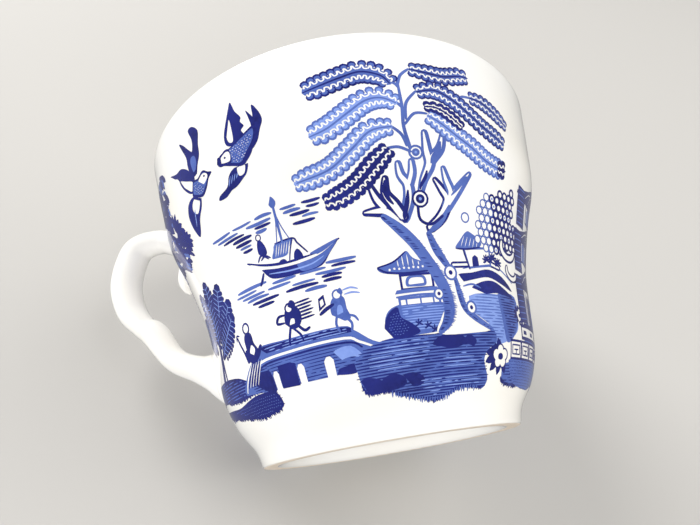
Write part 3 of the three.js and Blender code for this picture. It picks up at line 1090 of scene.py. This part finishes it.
def summer_house(art):
    """A small house on a rock, under the old tree."""
    art.fill([
        (2.6, 17.4), (3.6, 19.4), (6.0, 20.2), (10, 20.4), (14.4, 19.6), (15.2, 17.4), (13, 15.6),
        (8, 15.2), (3.6, 15.6),
    ], MID)
    grain(
        art, [(5.6, 19.8), (10, 20.0), (14.6, 19.0), (14.8, 16.6), (9, 15.8), (6, 16.4)], PALE,
        0.42, 0.2,
    )
    art.fill([
        (2.4, 16.8), (3.4, 18.9), (5.2, 19.8), (5.6, 18.2), (7.4, 17.0), (8.6, 15.6), (6, 15.0),
        (3.2, 15.2),
    ], DARK)
    stipple(
        art, [(3.0, 16.8), (4.0, 18.6), (5.2, 18.8), (6.6, 16.6), (5.4, 15.6), (3.6, 15.6)], MID,
        0.5, 0.3, 0.16,
    )
    for x, y in ((10.2, 16.4), (11.4, 15.7), (8.6, 16.9)):
        leaf_tuft(art, x, y, 0.8, DARK, 5)
    art.sharp([(5.6, 19.8), (5.6, 21.2), (13.4, 21.2), (13.4, 19.8)], MID)
    art.sharp([(6.0, 20.0), (6.0, 20.8), (13.0, 20.8), (13.0, 20.0)], CLEAR)
    art.stroke([(5.4, 21.3), (9.4, 21.4), (13.6, 21.3)], 0.34, MID, 0.8)
    for x in (7.0, 9.6, 12.0):
        art.stroke([(x, 20.0), (x, 21.2)], 0.3, MID, 0.9)
    art.sharp([(6.4, 22.3), (6.4, 24.9), (12.6, 24.9), (12.6, 22.3)], DARK)
    art.sharp([(6.8, 22.6), (6.8, 24.5), (12.2, 24.5), (12.2, 22.6)], CLEAR)
    art.fill([
        (7.6, 22.8), (7.4, 23.6), (7.9, 24.4), (9.3, 24.5), (10.8, 24.4), (11.2, 23.6),
        (10.9, 22.8), (9.3, 22.7),
    ], MID)
    art.fill([
        (8.1, 23.1), (8.0, 23.7), (8.4, 24.1), (9.3, 24.2), (10.4, 24.1), (10.7, 23.6),
        (10.4, 23.1),
    ], CLEAR)
    art.sharp([(5.2, 21.8), (13.2, 21.9), (13.0, 22.5), (5.6, 22.4)], MID)
    art.fill([
        (3.0, 26.4), (3.6, 25.5), (6.0, 25.0), (11.0, 24.9), (13.2, 25.2), (13.2, 26.0),
        (11.4, 26.6), (9.4, 27.4), (8.4, 28.6), (7.2, 27.8), (5.6, 26.9),
    ], MID)
    art.stroke([(3.0, 26.3), (4.6, 25.4), (8.0, 25.0), (13.0, 25.2)], 0.36, DARK, 0.6)
    art.stroke([(3.0, 26.4), (5.8, 27.0), (8.2, 28.5)], 0.30, DARK, 0.6)
    for i in range(9):
        art.disc(5.0 + 0.85 * i, 25.8 + 0.1 * (i % 2), 0.22, CLEAR, 6)
    for x, low, high in (
        (6.6, 26.2, 27.2), (7.5, 26.2, 27.8), (8.4, 26.2, 28.0), (9.3, 26.2, 27.2),
        (10.3, 26.2, 26.8),
    ):
        art.stroke([(x, low), (x - 0.05, high)], 0.2, CLEAR)


def near_bank(art):
    """The dark stippled bank along the bottom of the main scene."""
    bank = [
        (-3.9, 12.4), (-2.0, 13.8), (0.4, 14.8), (5, 15.3), (12, 15.0), (18, 15.6), (24, 15.4),
        (25, 13.4), (22.4, 12.0), (21.6, 10.2), (22.8, 7.4), (21.6, 5.8), (18.4, 6.4), (15.2, 6.2),
        (13.4, 5.4), (10.4, 4.6), (7.4, 5.4), (3.8, 6.4), (1.0, 7.4), (-2.4, 7.4), (-3.6, 9.0),
    ]
    art.fill(bank, MID)
    grain(art, bank, DARK, 0.46, 0.26, 0.0, 0.7)
    for blob in (
        [(-3.5, 9.6), (-1.4, 9.8), (0.6, 9.0), (0.8, 7.6), (-1.0, 7.1), (-2.8, 7.6)],
        [(0.4, 9.2), (2.6, 9.9), (4.6, 9.2), (4.8, 8.0), (2.6, 7.4), (0.6, 7.8)],
        [(4.4, 9.4), (6.8, 9.6), (8.4, 8.6), (7.8, 7.6), (5.6, 7.6)],
        [(10.6, 13.4), (12.0, 14.6), (15.0, 15.0), (17.4, 14.0), (16.6, 13.0), (13.2, 12.6)],
        [(16.6, 13.4), (18.2, 14.6), (19.8, 13.6), (18.6, 12.6)],
    ):
        art.fill(blob, DARK)
    for patch in (
        [(7, 8), (14, 8.6), (21, 8), (20, 6.6), (14, 6.8), (9.4, 5.2)],
        [(-1.6, 13.0), (4, 14.4), (9.6, 14.6), (9.4, 11.6), (2, 10.4), (-2.4, 11.2)],
        [(12, 11.4), (18, 11.8), (20.6, 10.4), (16, 9.6), (11.6, 10.0)],
    ):
        grain(art, patch, PALE, 0.62, 0.17)
    for y in (6.3, 6.9):
        art.stroke([(3.0, y), (5.6, y - 0.1), (8.0, y)], 0.3, DARK)
    fringe(art, [(-3.4, 8.6), (-2.4, 7.4), (1.0, 7.4), (3.8, 6.4), (7.4, 5.4), (10.4, 4.6)], DARK)
    fringe(art, [(10.4, 4.6), (13.4, 5.4), (15.2, 6.2), (18.4, 6.4), (21.6, 5.8)], DARK, 0.36)
    fringe(
        art, [(2.0, 6.9), (5.4, 5.9), (8.6, 5.1), (12.0, 5.0), (16.4, 6.3), (20.4, 6.2)], MID, 0.6,
        0.55,
    )


def flower(art, x, y, size):
    """A white five-petalled flower with dark leaves behind it."""
    for i in range(7):
        turn = math.radians(100 + 32 * i)
        tip = (x + 2.0 * size * math.cos(turn), y + 1.35 * size * math.sin(turn))
        art.stroke([(x, y), ((x + tip[0]) / 2, (y + tip[1]) / 2 + 0.2), tip], size * 0.7, DARK, 0.3, 3)
    petals = [(
        x + 0.62 * size * math.cos(math.radians(90 + 72 * i)),
        y + 0.5 * size * math.sin(math.radians(90 + 72 * i)),
    ) for i in range(5)]
    for px, py in petals:
        art.disc(px, py, size * 0.52, DARK, 12)
    for px, py in petals:
        art.disc(px, py, size * 0.41, CLEAR, 12)
    art.disc(x, y, size * 0.36, DARK, 10, 0.75)


def right_bank(art):
    """The hatched slopes right of the tree, with the lodge's foot and low clouds."""
    art.fill([
        (19.4, 20.8), (27.4, 21.4), (33.2, 21.4), (33.4, 17), (31.6, 14.8), (26, 13.0),
        (20.6, 13.6), (18.8, 16.8),
    ], PALE)
    grain(
        art, [(19.6, 20.6), (27.4, 21.2), (27.4, 14.4), (23, 13.4), (20.4, 14.4), (19.2, 17)], MID,
        0.5, 0.22,
    )
    art.fill([(27.0, 21.4), (33.2, 21.5), (33.4, 17.4), (31.2, 14.6), (28.4, 13.4), (27.4, 17)], MID)
    grain(art, [(27.4, 21.2), (33.0, 21.2), (33.2, 17.4), (31.0, 14.8), (28.6, 13.8)], DARK, 0.46, 0.24)
    art.fill([
        (17.8, 24.4), (21.0, 24.8), (25.4, 25.6), (29.4, 24.6), (32.4, 22.4), (28.6, 23.4),
        (25, 24.2), (21, 23.6), (18.2, 23.2),
    ], DARK)
    art.fill([
        (20.4, 22.2), (23.4, 23.4), (26.4, 23.6), (29.4, 22.6), (32.2, 21.2), (26.8, 21.6),
        (23.0, 21.2),
    ], DARK)
    art.stroke([(18.4, 22.4), (20.6, 22.8), (22.6, 22.2)], 0.34, MID)
    art.stroke([(19.0, 25.4), (22.0, 26.0), (25.4, 26.6), (29.0, 26.0), (33.0, 24.0)], 0.3, MID)
    art.limb([(17.0, 26.0, 0.8), (20.6, 26.2, 0.8), (24.2, 26.9, 0.9), (28.6, 26.2, 0.8)], DARK, 0.15)
    art.limb([(17.0, 26.0, 0.4), (20.6, 26.2, 0.4), (24.2, 26.9, 0.5), (28.6, 26.2, 0.4)], CLEAR)
    art.fill([
        (26.8, 9.6), (32, 10.2), (37.0, 9.6), (37.0, 7.4), (34, 6.2), (29.4, 6.2), (26.6, 7.4),
    ], MID)
    grain(
        art, [(26.8, 9.6), (32, 10.0), (36.8, 9.4), (36.6, 7.4), (34, 6.4), (29.4, 6.4), (27, 7.4)],
        DARK, 0.5, 0.22,
    )
    fringe(art, [(26.8, 7.3), (29.4, 6.3), (34, 6.3), (37.0, 7.4)], DARK, 0.4)
    flower(art, 26.2, 11.0, 2.1)
    flower(art, 34.6, 18.4, 1.3)


def lodge(art):
    """The lean-to lodge between the tree and the ring-leaved tree."""
    art.sharp([(19.6, 29.0), (26.4, 29.6), (26.4, 26.2), (20.4, 25.4)], MID)
    art.sharp([(20.0, 28.6), (26.0, 29.2), (26.0, 26.6), (20.7, 25.8)], CLEAR)
    art.stroke([(19.5, 29.2), (19.9, 27.6), (20.6, 25.4)], 0.34, DARK, 0.8)
    art.sharp([(21.4, 25.8), (21.5, 27.4), (22.2, 27.9), (22.9, 27.5), (23.0, 26.0)], DARK)
    for x, y, size in ((25.2, 27.2, 1.1), (27.0, 27.6, 1.2), (28.6, 27.0, 1.1)):
        leaf_tuft(art, x, y, size, DARK, 7)
    art.fill([
        (18.0, 28.8), (19.0, 30.2), (20.6, 31.8), (21.8, 31.6), (24.0, 30.4), (23.6, 29.4),
        (21.0, 28.8),
    ], MID)
    for i in range(5):
        art.stroke([(19.2 + i * 0.9, 29.2), (20.0 + i * 0.8, 31.0 - 0.1 * i)], 0.17, CLEAR)
    art.stroke([(18.0, 28.8), (20.6, 28.8), (23.8, 29.4)], 0.34, DARK)


def pavilion(art, x, wide):
    """A tall three-roofed pavilion; x is its middle."""
    half = wide / 2
    art.sharp([(x - half, 14.2), (x + half, 14.2), (x + half, 17.0), (x - half, 17.0)], DARK)
    art.sharp([
        (x - half + 0.4, 14.8), (x + half - 0.4, 14.8), (x + half - 0.4, 16.4),
        (x - half + 0.4, 16.4),
    ], CLEAR)
    for i in range(7):
        step = x - half + 1.2 + i * wide / 7
        art.sharp([(step, 15.2), (step + 1.6, 15.2), (step + 1.6, 15.9), (step, 15.9)], DARK)
    storey(art, x, 17.0, wide * 0.88, 7.6, 7)
    roof(art, x, 24.4, wide * 1.06, 6.0, DARK)
    storey(art, x, 29.6, wide * 0.66, 5.0, 5)
    roof(art, x, 33.8, wide * 0.96, 5.0, DARK)
    storey(art, x, 38.2, wide * 0.48, 4.4, 3)
    roof(art, x, 42.2, wide * 0.88, 5.6, DARK)
    for left, low, high in (
        (x - half + 0.4, 17.4, 26.4), (x - half + 1.3, 27.2, 35.4), (x - half + 2.1, 36.2, 44.0),
    ):
        block = [(left, low), (left + 4.6, low), (left + 4.6, high), (left, high)]
        art.sharp(block, DARK)
        for i in range(int((high - low) / 1.1)):
            art.stroke([
                (left + 0.4, low + 0.6 + 1.1 * i), (left + 3.9, low + 0.9 + 1.1 * i),
            ], 0.2, MID, 0.7)
    art.stroke([(x, 47.4), (x + 0.05, 49.2), (x, 51.0)], 0.4, DARK)
    art.disc(x, 49.0, 0.6, DARK, 8)
    scroll(art, x - wide * 0.53, 26.4, 2.0)
    scroll(art, x + wide * 0.53, 26.4, 2.0, DARK, -1)


def terrace(art, left, right):
    """A fenced terrace with hatched ground under it."""
    middle = (left + right) / 2
    bank = [
        (left, 10.4), (left + 3, 6.6), (middle - 6, 5.6), (middle, 6.8), (middle + 6, 5.8),
        (right - 3, 6.6), (right, 10.4), (right - 1, 14.4), (left + 1, 14.4),
    ]
    art.fill(bank, MID)
    stipple(art, bank, DARK, 0.62, 0.44, 0.24)
    fret_fence(art, left + 0.6, right - 0.6, 10.6, 3.4)


def leaf_bank(art, left, right, low, high, count, lean=-42):
    """A mass of long brushed leaves that all lean the same way."""
    for _ in range(count):
        x, y = art.dice.uniform(left, right), art.dice.uniform(low, high)
        reach = art.dice.uniform(2.2, 4.4)
        turn = math.radians(lean + art.dice.uniform(-9, 9))
        tip = (x + reach * math.cos(turn), y + reach * math.sin(turn))
        middle = ((x + tip[0]) / 2 + 0.15, (y + tip[1]) / 2 + 0.25)
        art.stroke(
            [(x, y), middle, tip], art.dice.uniform(0.8, 1.3),
            DARK if art.dice.random() < 0.7 else MID, 0.15, 3,
        )


def left_bank(art):
    """The fan-shaped tree, leaning foliage and ground left of the bridge."""
    art.fill([
        (-58, 17.0), (-50, 17.4), (-44, 16.6), (-37, 16.4), (-31, 15.6), (-27.4, 14.4),
        (-21.0, 13.2), (-20.4, 12.2), (-26, 12.0), (-33, 11.8), (-40, 12.6), (-47, 13.2),
        (-58, 13.0),
    ], DARK)
    grain(
        art,
        [
            (-57, 16.6), (-50, 17.0), (-44, 16.4), (-37, 16.0), (-31, 15.2), (-24, 13.6),
            (-24, 12.4), (-33, 12.2), (-40, 13.0), (-47, 13.6), (-57, 13.6),
        ],
        MID, 0.50, 0.17, -0.02,
    )
    art.fill([
        (-46, 11.6), (-40, 11.2), (-34, 10.8), (-27, 11.6), (-21.6, 11.4), (-20.2, 9.8),
        (-21.0, 8.4), (-27, 7.8), (-33, 8.6), (-40, 9.6), (-46, 10.2),
    ], DARK)
    grain(
        art,
        [
            (-46, 11.4), (-34, 10.6), (-27, 11.4), (-21.0, 11.0), (-20.6, 8.8), (-27, 8.2),
            (-33, 9.0), (-42, 9.8),
        ],
        DARK, 0.5, 0.24, 0.0, 0.9,
    )
    fringe(art, [(-44, 9.9), (-40, 9.6), (-33, 8.6), (-27, 7.8), (-21.0, 8.4)], DARK, 0.45)
    fringe(art, [(-40, 12.7), (-33, 11.9), (-26, 12.1), (-20.8, 12.3)], DARK, 0.4)
    stipple(
        art,
        [
            (-40, 11.0), (-34, 10.4), (-27, 11.2), (-21.6, 11.0), (-21.0, 8.8), (-27, 8.2),
            (-33, 9.0),
        ],
        MID,
    )
    plume_tree(art, -36.4, 16.4, 13.5, 20.0)
    art.limb([
        (-54.0, 15.0, 2.4), (-53.2, 24.0, 1.7), (-51.4, 33.0, 1.3), (-49.6, 42.0, 1.0),
        (-47.6, 50.0, 0.6),
    ], DARK)
    art.limb([(-52.0, 30.0, 1.0), (-54.6, 37.0, 0.8), (-54.2, 45.0, 0.5)], DARK)
    art.limb([(-50.4, 38.0, 0.9), (-46.4, 43.0, 0.7), (-42.4, 45.6, 0.4)], DARK)
    leaf_bank(art, -57, -38, 50, 61, 170, -48)
    leaf_bank(art, -56, -36, 40.5, 49.5, 80, -28)
    for x, y, size in (
        (-39.5, 52.4, 3.0), (-36.4, 46.6, 3.4), (-40.6, 44.0, 3.2), (-44.0, 49.0, 3.4),
        (-34.6, 43.6, 2.6),
    ):
        leaf_tuft(art, x, y, size, DARK, 9, -120, 200)


def far_isle(art, x):
    """A distant islet with a hut and a leaning tree, for the bowl's back."""
    isle = [
        (x - 13, 26.4), (x - 8, 28.2), (x - 1, 28.8), (x + 6, 28.4), (x + 12, 26.6), (x + 6, 25.4),
        (x - 4, 25.0), (x - 10, 25.4),
    ]
    art.fill(isle, MID)
    grain(art, isle, DARK, 0.46, 0.22)
    storey(art, x - 2, 28.4, 6.4, 3.4, 3)
    roof(art, x - 2, 31.6, 9.0, 3.6)
    art.limb([
        (x + 5.4, 28.0, 1.1), (x + 6.4, 32.0, 0.9), (x + 5.2, 36.0, 0.7), (x + 6.6, 39.6, 0.4),
    ], MID, 0.15)
    for dx, dy, size in ((4.0, 37.0, 2.4), (7.6, 38.4, 2.6), (5.4, 41.0, 2.4), (8.8, 35.2, 1.9)):
        leaf_tuft(art, x + dx, dy, size, DARK, 11, -60, 300)
    ripples(art, x - 17, x + 15, 20.4, 24.2)


def draw_print():
    """The whole landscape round the bowl, from the handle and back to it."""
    art = Drawing(11)
    left_bank(art)
    water(art)
    boat(art, -12.0 + 0.8, 30.2 - 0.9)
    bridge(art)
    walkers(art)
    right_bank(art)
    lodge(art)
    ring_foliage(
        art,
        [
            (19.6, 31.4), (22.0, 35.6), (24.6, 38.2), (28.6, 39.8), (33.6, 41.2), (34.8, 38.4),
            (34.4, 35.8), (37.2, 34.6), (36.6, 31.4), (31, 28.8), (25.6, 28.2), (23.8, 30.0),
        ],
        0.8, 27.0,
    )
    art.ring(20.5, 34.2, 0.95, 0.26, MID)
    near_bank(art)
    summer_house(art)
    old_tree(art)
    willow(art)
    left_bird(art)
    right_bird(art)
    terrace(art, 29.0, 66.0)
    pavilion(art, 50.0, 31.0)
    scroll(art, 32.8, 30.6, 2.6)
    ring_foliage(art, [(62, 34), (61, 42), (64, 50), (70, 54), (77, 50), (79, 42), (76, 34), (70, 31)])
    art.limb([(70.4, 14.6, 2.4), (69.6, 22.0, 1.8), (70.6, 31.6, 1.2)], MID, 0.25)
    near = [
        (64, 13.4), (70, 15.4), (80, 14.8), (90, 13.6), (100, 14.4), (112, 12.6), (116, 9.8),
        (110, 7.2), (100, 6.4), (90, 7.6), (80, 6.0), (70, 6.6), (65, 9.0),
    ]
    art.fill(near, MID)
    stipple(art, near, DARK, 0.6, 0.44, 0.24)
    far_isle(art, 100.0)
    art.shift = 88.0
    art.limb([(9.4, 46.0, 0.5), (10.6, 49.0, 0.5), (10.2, 53.0, 0.5)], MID)
    willow(art, [*FRONDS[:2], *FRONDS[4:7]])
    art.shift = 0.0
    flower(art, 84.0, 15.6, 2.1)
    flower(art, 92.6, 16.2, 1.6)
    leaf_tuft(art, 78.0, 15.0, 3.2, DARK, 11)
    leaf_tuft(art, 106.0, 14.0, 2.6, DARK, 9)
    fret_fence(art, 118.0, 140.0, 10.0, 3.4)
    art.fill([
        (116, 10), (142, 10), (150, 14), (163, 14), (163, 9), (150, 7.4), (140, 6.2), (128, 6.6),
        (118, 7.6),
    ], MID)
    stipple(
        art,
        [
            (116, 10), (142, 10), (150, 14), (163, 14), (163, 9), (150, 7.4), (140, 6.2),
            (128, 6.6), (118, 7.6),
        ],
        DARK, 0.6, 0.44, 0.24,
    )
    plume_tree(art, 128.0, 13.8, 14.0, 22.0)
    plume_tree(art, 150.0, 13.6, 12.0, 18.0)
    art.limb([
        (160.6, 13.6, 2.2), (160.8, 24.0, 1.6), (159.0, 34.0, 1.3), (155.0, 43.0, 1.0),
        (148.0, 52.0, 0.6),
    ], DARK)
    art.limb([(159.6, 31.0, 0.9), (161.0, 40.0, 0.7), (160.0, 50.0, 0.4)], DARK)
    leaf_bank(art, 136, 160, 47, 60, 230, -132)
    leaf_bank(art, 146, 162, 40, 48, 80, -150)
    boat(art, 122.0, 40.0)
    ripples(art, 108, 138, 33.6, 38.6)
    return art


# ---------------------------------------------------------------- the print's mesh

PRINT_HEADING = 275.0           # where the middle of the main scene is, degrees
PRINT_RADIUS = 36.0             # the flat drawing's width is an arc of this radius
PRINT_LIFT = 0.035              # the ink's face stands this far off the glaze
PRINT_DEPTH = 0.07              # the ink layer's thickness
PRINT_LATTICE = 1.6             # inner points this far apart keep the ink on the curve
PRINT_SPLIT = 34.0              # the front pieces end and the back ones begin here
SHAPE_JITTER = 0.004            # keeps outlines from lying exactly on one another


def ring_area(outline):
    """The area inside an outline, negative if it runs clockwise."""
    return np.sum(
        outline[:, 0] * np.roll(outline[:, 1], -1) - outline[:, 1] * np.roll(outline[:, 0], -1)
    ) / 2


def short_steps(outline):
    """The same outline with points added, so that every edge can follow the curve."""
    stepped = []
    for here, there in zip(outline, np.roll(outline, -1, axis=0)):
        count = max(1, math.ceil(np.hypot(*(there - here)) / PRINT_LATTICE))
        stepped.extend(here + (there - here) * i / count for i in range(count))
    return np.array(stepped)


def flat_triangles(shapes):
    """Cut the whole drawing into triangles that no outline crosses."""
    dice = np.random.default_rng(4)
    points, edges = [], []
    for outline, _ in shapes:
        outline = outline + dice.uniform(-SHAPE_JITTER, SHAPE_JITTER, outline.shape)
        outline = short_steps(outline)
        start, count = len(points), len(outline)
        points.extend(outline)
        edges.extend((start + i, start + (i + 1) % count) for i in range(count))
    everything = np.array(points)
    (left, low), (right, high) = everything.min(0), everything.max(0)
    for x in np.arange(left, right, PRINT_LATTICE):
        for y in np.arange(low, high, PRINT_LATTICE):
            points.append(np.array((x, y)))
    corners, _, faces, *_ = delaunay_2d_cdt(
        [Vector(p) for p in points], edges, [], 0, 1e-5, False
    )
    corners = np.array([tuple(c) for c in corners])
    faces = np.array([tuple(f) for f in faces if len(f) == 3])
    return corners, faces


def triangle_inks(corners, faces, shapes):
    """The ink of each triangle: that of the last shape painted over its middle."""
    middles = corners[faces].mean(1)
    order = np.argsort(middles[:, 0])
    sorted_x = middles[order, 0]
    inks = np.zeros(len(faces), int)
    for outline, ink in shapes:
        low, high = outline.min(0), outline.max(0)
        near = order[np.searchsorted(sorted_x, low[0]):np.searchsorted(sorted_x, high[0])]
        near = near[(middles[near, 1] > low[1]) & (middles[near, 1] < high[1])]
        if len(near):
            inks[near[inside(middles[near], outline)]] = ink
    return inks


def wrap(corners):
    """Flat drawing to the wall: points on the wall, and the way out of it."""
    turn = math.radians(PRINT_HEADING) + corners[:, 0] / PRINT_RADIUS
    radius = np.interp(corners[:, 1], wall_length, wall[:, 0])
    height = np.interp(corners[:, 1], wall_length, wall[:, 1])
    slope = np.gradient(wall, wall_length, axis=0)
    lean = np.interp(corners[:, 1], wall_length, slope[:, 0])
    climb = np.interp(corners[:, 1], wall_length, slope[:, 1])
    size = np.hypot(lean, climb)
    spots = np.c_[AXIS_X + radius * np.cos(turn), radius * np.sin(turn), height]
    outward = np.c_[climb * np.cos(turn), climb * np.sin(turn), -lean] / size[:, None]
    return spots, outward


def ink_layer(name, corners, faces, material):
    """One ink as a closed thin layer that follows the wall."""
    used, flat = np.unique(faces, return_inverse=True)
    faces = flat.reshape(faces.shape)
    spots, outward = wrap(corners[used])
    if ring_area(corners[used][faces[0]]) < 0:
        faces = faces[:, ::-1]
    count = len(used)
    edges = {}
    for a, b, c in faces.tolist():
        edges.update(dict.fromkeys(((a, b), (b, c), (c, a))))
    rim = [(a, b) for a, b in edges if (b, a) not in edges]
    vertices = np.vstack([spots + outward * PRINT_LIFT, spots + outward * (PRINT_LIFT - PRINT_DEPTH)])
    every_face = [tuple(f) for f in faces.tolist()]
    every_face += [tuple(f) for f in (faces[:, ::-1] + count).tolist()]
    every_face += [(b, a, a + count, b + count) for a, b in rim]
    layer = mesh_object(name, vertices, every_face)
    layer.data.materials.append(material)
    layer.data.normals_split_custom_set_from_vertices(np.vstack([outward, -outward]).tolist())
    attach(layer, "root")


def ink_material(name, deep, light):
    """Cobalt under glossy glaze, uneven in strength as tissue printing leaves it."""
    nodes = Nodes(name)
    cloud = nodes.remap(nodes.noise(120, 2.0), 0.35, 0.65, 0, 1)
    grit = nodes.remap(nodes.noise(1500, 3.0), 0.35, 0.65, 0, 1)
    broad = nodes.mix(cloud, deep, light)
    colour = nodes.mix(grit, broad, tuple((a + b) / 2 for a, b in zip(deep, light)))
    nodes.link(colour, nodes.shader.inputs["Base Color"])
    nodes.link(nodes.remap(nodes.noise(160), 0.3, 0.7, 0.08, 0.15), nodes.shader.inputs["Roughness"])
    nodes.glazed()
    return nodes.material


# ink, piece name, deep colour, light colour
INKS = [
    (PALE, "print_pale", (0.16, 0.25, 0.62), (0.25, 0.36, 0.74)),
    (MID, "print_blue", (0.050, 0.090, 0.34), (0.095, 0.16, 0.48)),
    (DARK, "print_navy", (0.003, 0.006, 0.10), (0.012, 0.020, 0.21)),
]


def make_print():
    """Every ink of the landscape, as a front and a back piece."""
    shapes = draw_print().shapes
    corners, faces = flat_triangles(shapes)
    inks = triangle_inks(corners, faces, shapes)
    back = corners[faces].mean(1)[:, 0] > PRINT_SPLIT
    for ink, name, deep, light in INKS:
        material = ink_material(name + "_ink", deep, light)
        ink_layer(name + "_front", corners, faces[(inks == ink) & ~back], material)
        ink_layer(name + "_back", corners, faces[(inks == ink) & back], material)


# ---------------------------------------------------------------- the studio

LENS_MM = 27.3
CAMERA_SPOT = (18.2, -110.7, -5.4)
CAMERA_HEADING = 96.0           # degrees, anticlockwise from +X
CAMERA_PITCH = 22.5
CAMERA_ROLL = -9.85
SENSOR_MM = 36


def make_camera():
    """The camera, below the bowl and looking up at its side."""
    heading, pitch, roll = (
        math.radians(v) for v in (CAMERA_HEADING, CAMERA_PITCH, CAMERA_ROLL)
    )
    ahead = Vector((
        math.cos(heading) * math.cos(pitch),
        math.sin(heading) * math.cos(pitch),
        math.sin(pitch),
    ))
    level = Vector((math.sin(heading), -math.cos(heading), 0))
    upright = level.cross(ahead)
    right = math.cos(roll) * level + math.sin(roll) * upright
    up = right.cross(ahead)
    camera = bpy.data.objects.new("camera", bpy.data.cameras.new("camera"))
    camera.data.lens = LENS_MM
    camera.data.sensor_width = SENSOR_MM
    camera.data.clip_start = 0.005
    camera.matrix_world = Matrix.Translation(Vector(CAMERA_SPOT) * MM) @ Matrix(
        (right, up, -ahead)
    ).transposed().to_4x4()
    bpy.context.scene.collection.objects.link(camera)
    bpy.context.scene.camera = camera


FLOOR_TOUCH_HEADING = 112.0     # where round the bowl the floor touches it, degrees
FLOOR_LEAN = 13.0               # the floor leans out with the bowl's side, degrees
FLOOR_CLEARANCE = 0.6           # between the rim and the floor, mm
FLOOR_HALF_SIZE = 3.0           # metres
WORLD_STRENGTH = 0.30


def make_floor():
    """The bowl lies with its rim and belly on this plane, away from the camera."""
    heading, lean = math.radians(FLOOR_TOUCH_HEADING), math.radians(FLOOR_LEAN)
    down = Vector((
        math.cos(heading) * math.cos(lean), math.sin(heading) * math.cos(lean), -math.sin(lean)
    ))
    reach = RIM_RADIUS * math.cos(lean) - CUP_HEIGHT * math.sin(lean) + FLOOR_CLEARANCE
    spot = (Vector((AXIS_X, 0, 0)) + down * reach) * MM
    mesh = bpy.data.meshes.new("floor")
    shape = bmesh.new()
    bmesh.ops.create_grid(shape, x_segments=1, y_segments=1, size=FLOOR_HALF_SIZE)
    shape.to_mesh(mesh)
    shape.free()
    floor = bpy.data.objects.new("floor", mesh)
    floor.matrix_world = Matrix.Translation(spot) @ (-down).to_track_quat("Z", "Y").to_matrix().to_4x4()
    bpy.context.scene.collection.objects.link(floor)
    floor.visible_diffuse = False
    floor.visible_glossy = False
    floor.visible_transmission = False
    floor.visible_shadow = False
    material = bpy.data.materials.new("pale_floor")
    material.use_nodes = True
    tree = material.node_tree
    shader = tree.nodes["Principled BSDF"]
    shader.inputs["Base Color"].default_value = (0.50, 0.485, 0.46, 1)
    shader.inputs["Roughness"].default_value = 0.9
    clear = tree.nodes.new("ShaderNodeBsdfTransparent")
    side = tree.nodes.new("ShaderNodeNewGeometry")
    either = tree.nodes.new("ShaderNodeMixShader")
    tree.links.new(side.outputs["Backfacing"], either.inputs["Fac"])
    tree.links.new(shader.outputs["BSDF"], either.inputs[1])
    tree.links.new(clear.outputs["BSDF"], either.inputs[2])
    tree.links.new(either.outputs["Shader"], tree.nodes["Material Output"].inputs["Surface"])
    mesh.materials.append(material)


# name, spot (mm), size (mm), power (W), seen in reflections
LAMPS = [
    ("key", (-200, -400, 720), 500, 6.3, True),
    ("fill_right", (620, -320, 160), 800, 3.9, False),
    ("fill_left", (-640, -120, 80), 800, 3.3, False),
    ("back", (60, 620, 420), 700, 3.3, False),
    ("under", (0, -320, -420), 700, 2.8, False),
]


def make_lamps():
    """Large soft discs that all face the middle of the cup."""
    middle = Vector((0, 0, CUP_HEIGHT / 2)) * MM
    for name, spot, size, power, mirrored in LAMPS:
        data = bpy.data.lights.new(name, "AREA")
        data.shape = "DISK"
        data.size = size * MM
        data.energy = power
        lamp = bpy.data.objects.new(name, data)
        place = Vector(spot) * MM
        turn = (place - middle).to_track_quat("Z", "Y")
        lamp.matrix_world = Matrix.Translation(place) @ turn.to_matrix().to_4x4()
        lamp.visible_glossy = mirrored
        bpy.context.scene.collection.objects.link(lamp)


def make_world():
    """A pale, even room."""
    world = bpy.data.worlds.new("pale_room")
    world.use_nodes = True
    background = world.node_tree.nodes["Background"]
    background.inputs["Color"].default_value = (1.0, 0.99, 0.97, 1)
    background.inputs["Strength"].default_value = WORLD_STRENGTH
    bpy.context.scene.world = world


make_camera()
make_floor()
make_lamps()
make_world()
make_bowl()
make_handle()
make_fillet("upper_slip_fillet", "upper_slip_joint", HANDLE_PATH[:4])
make_fillet("lower_slip_fillet", "lower_slip_joint", HANDLE_PATH[-4:])
make_print()
bpy.context.scene.view_settings.view_transform = "Standard"
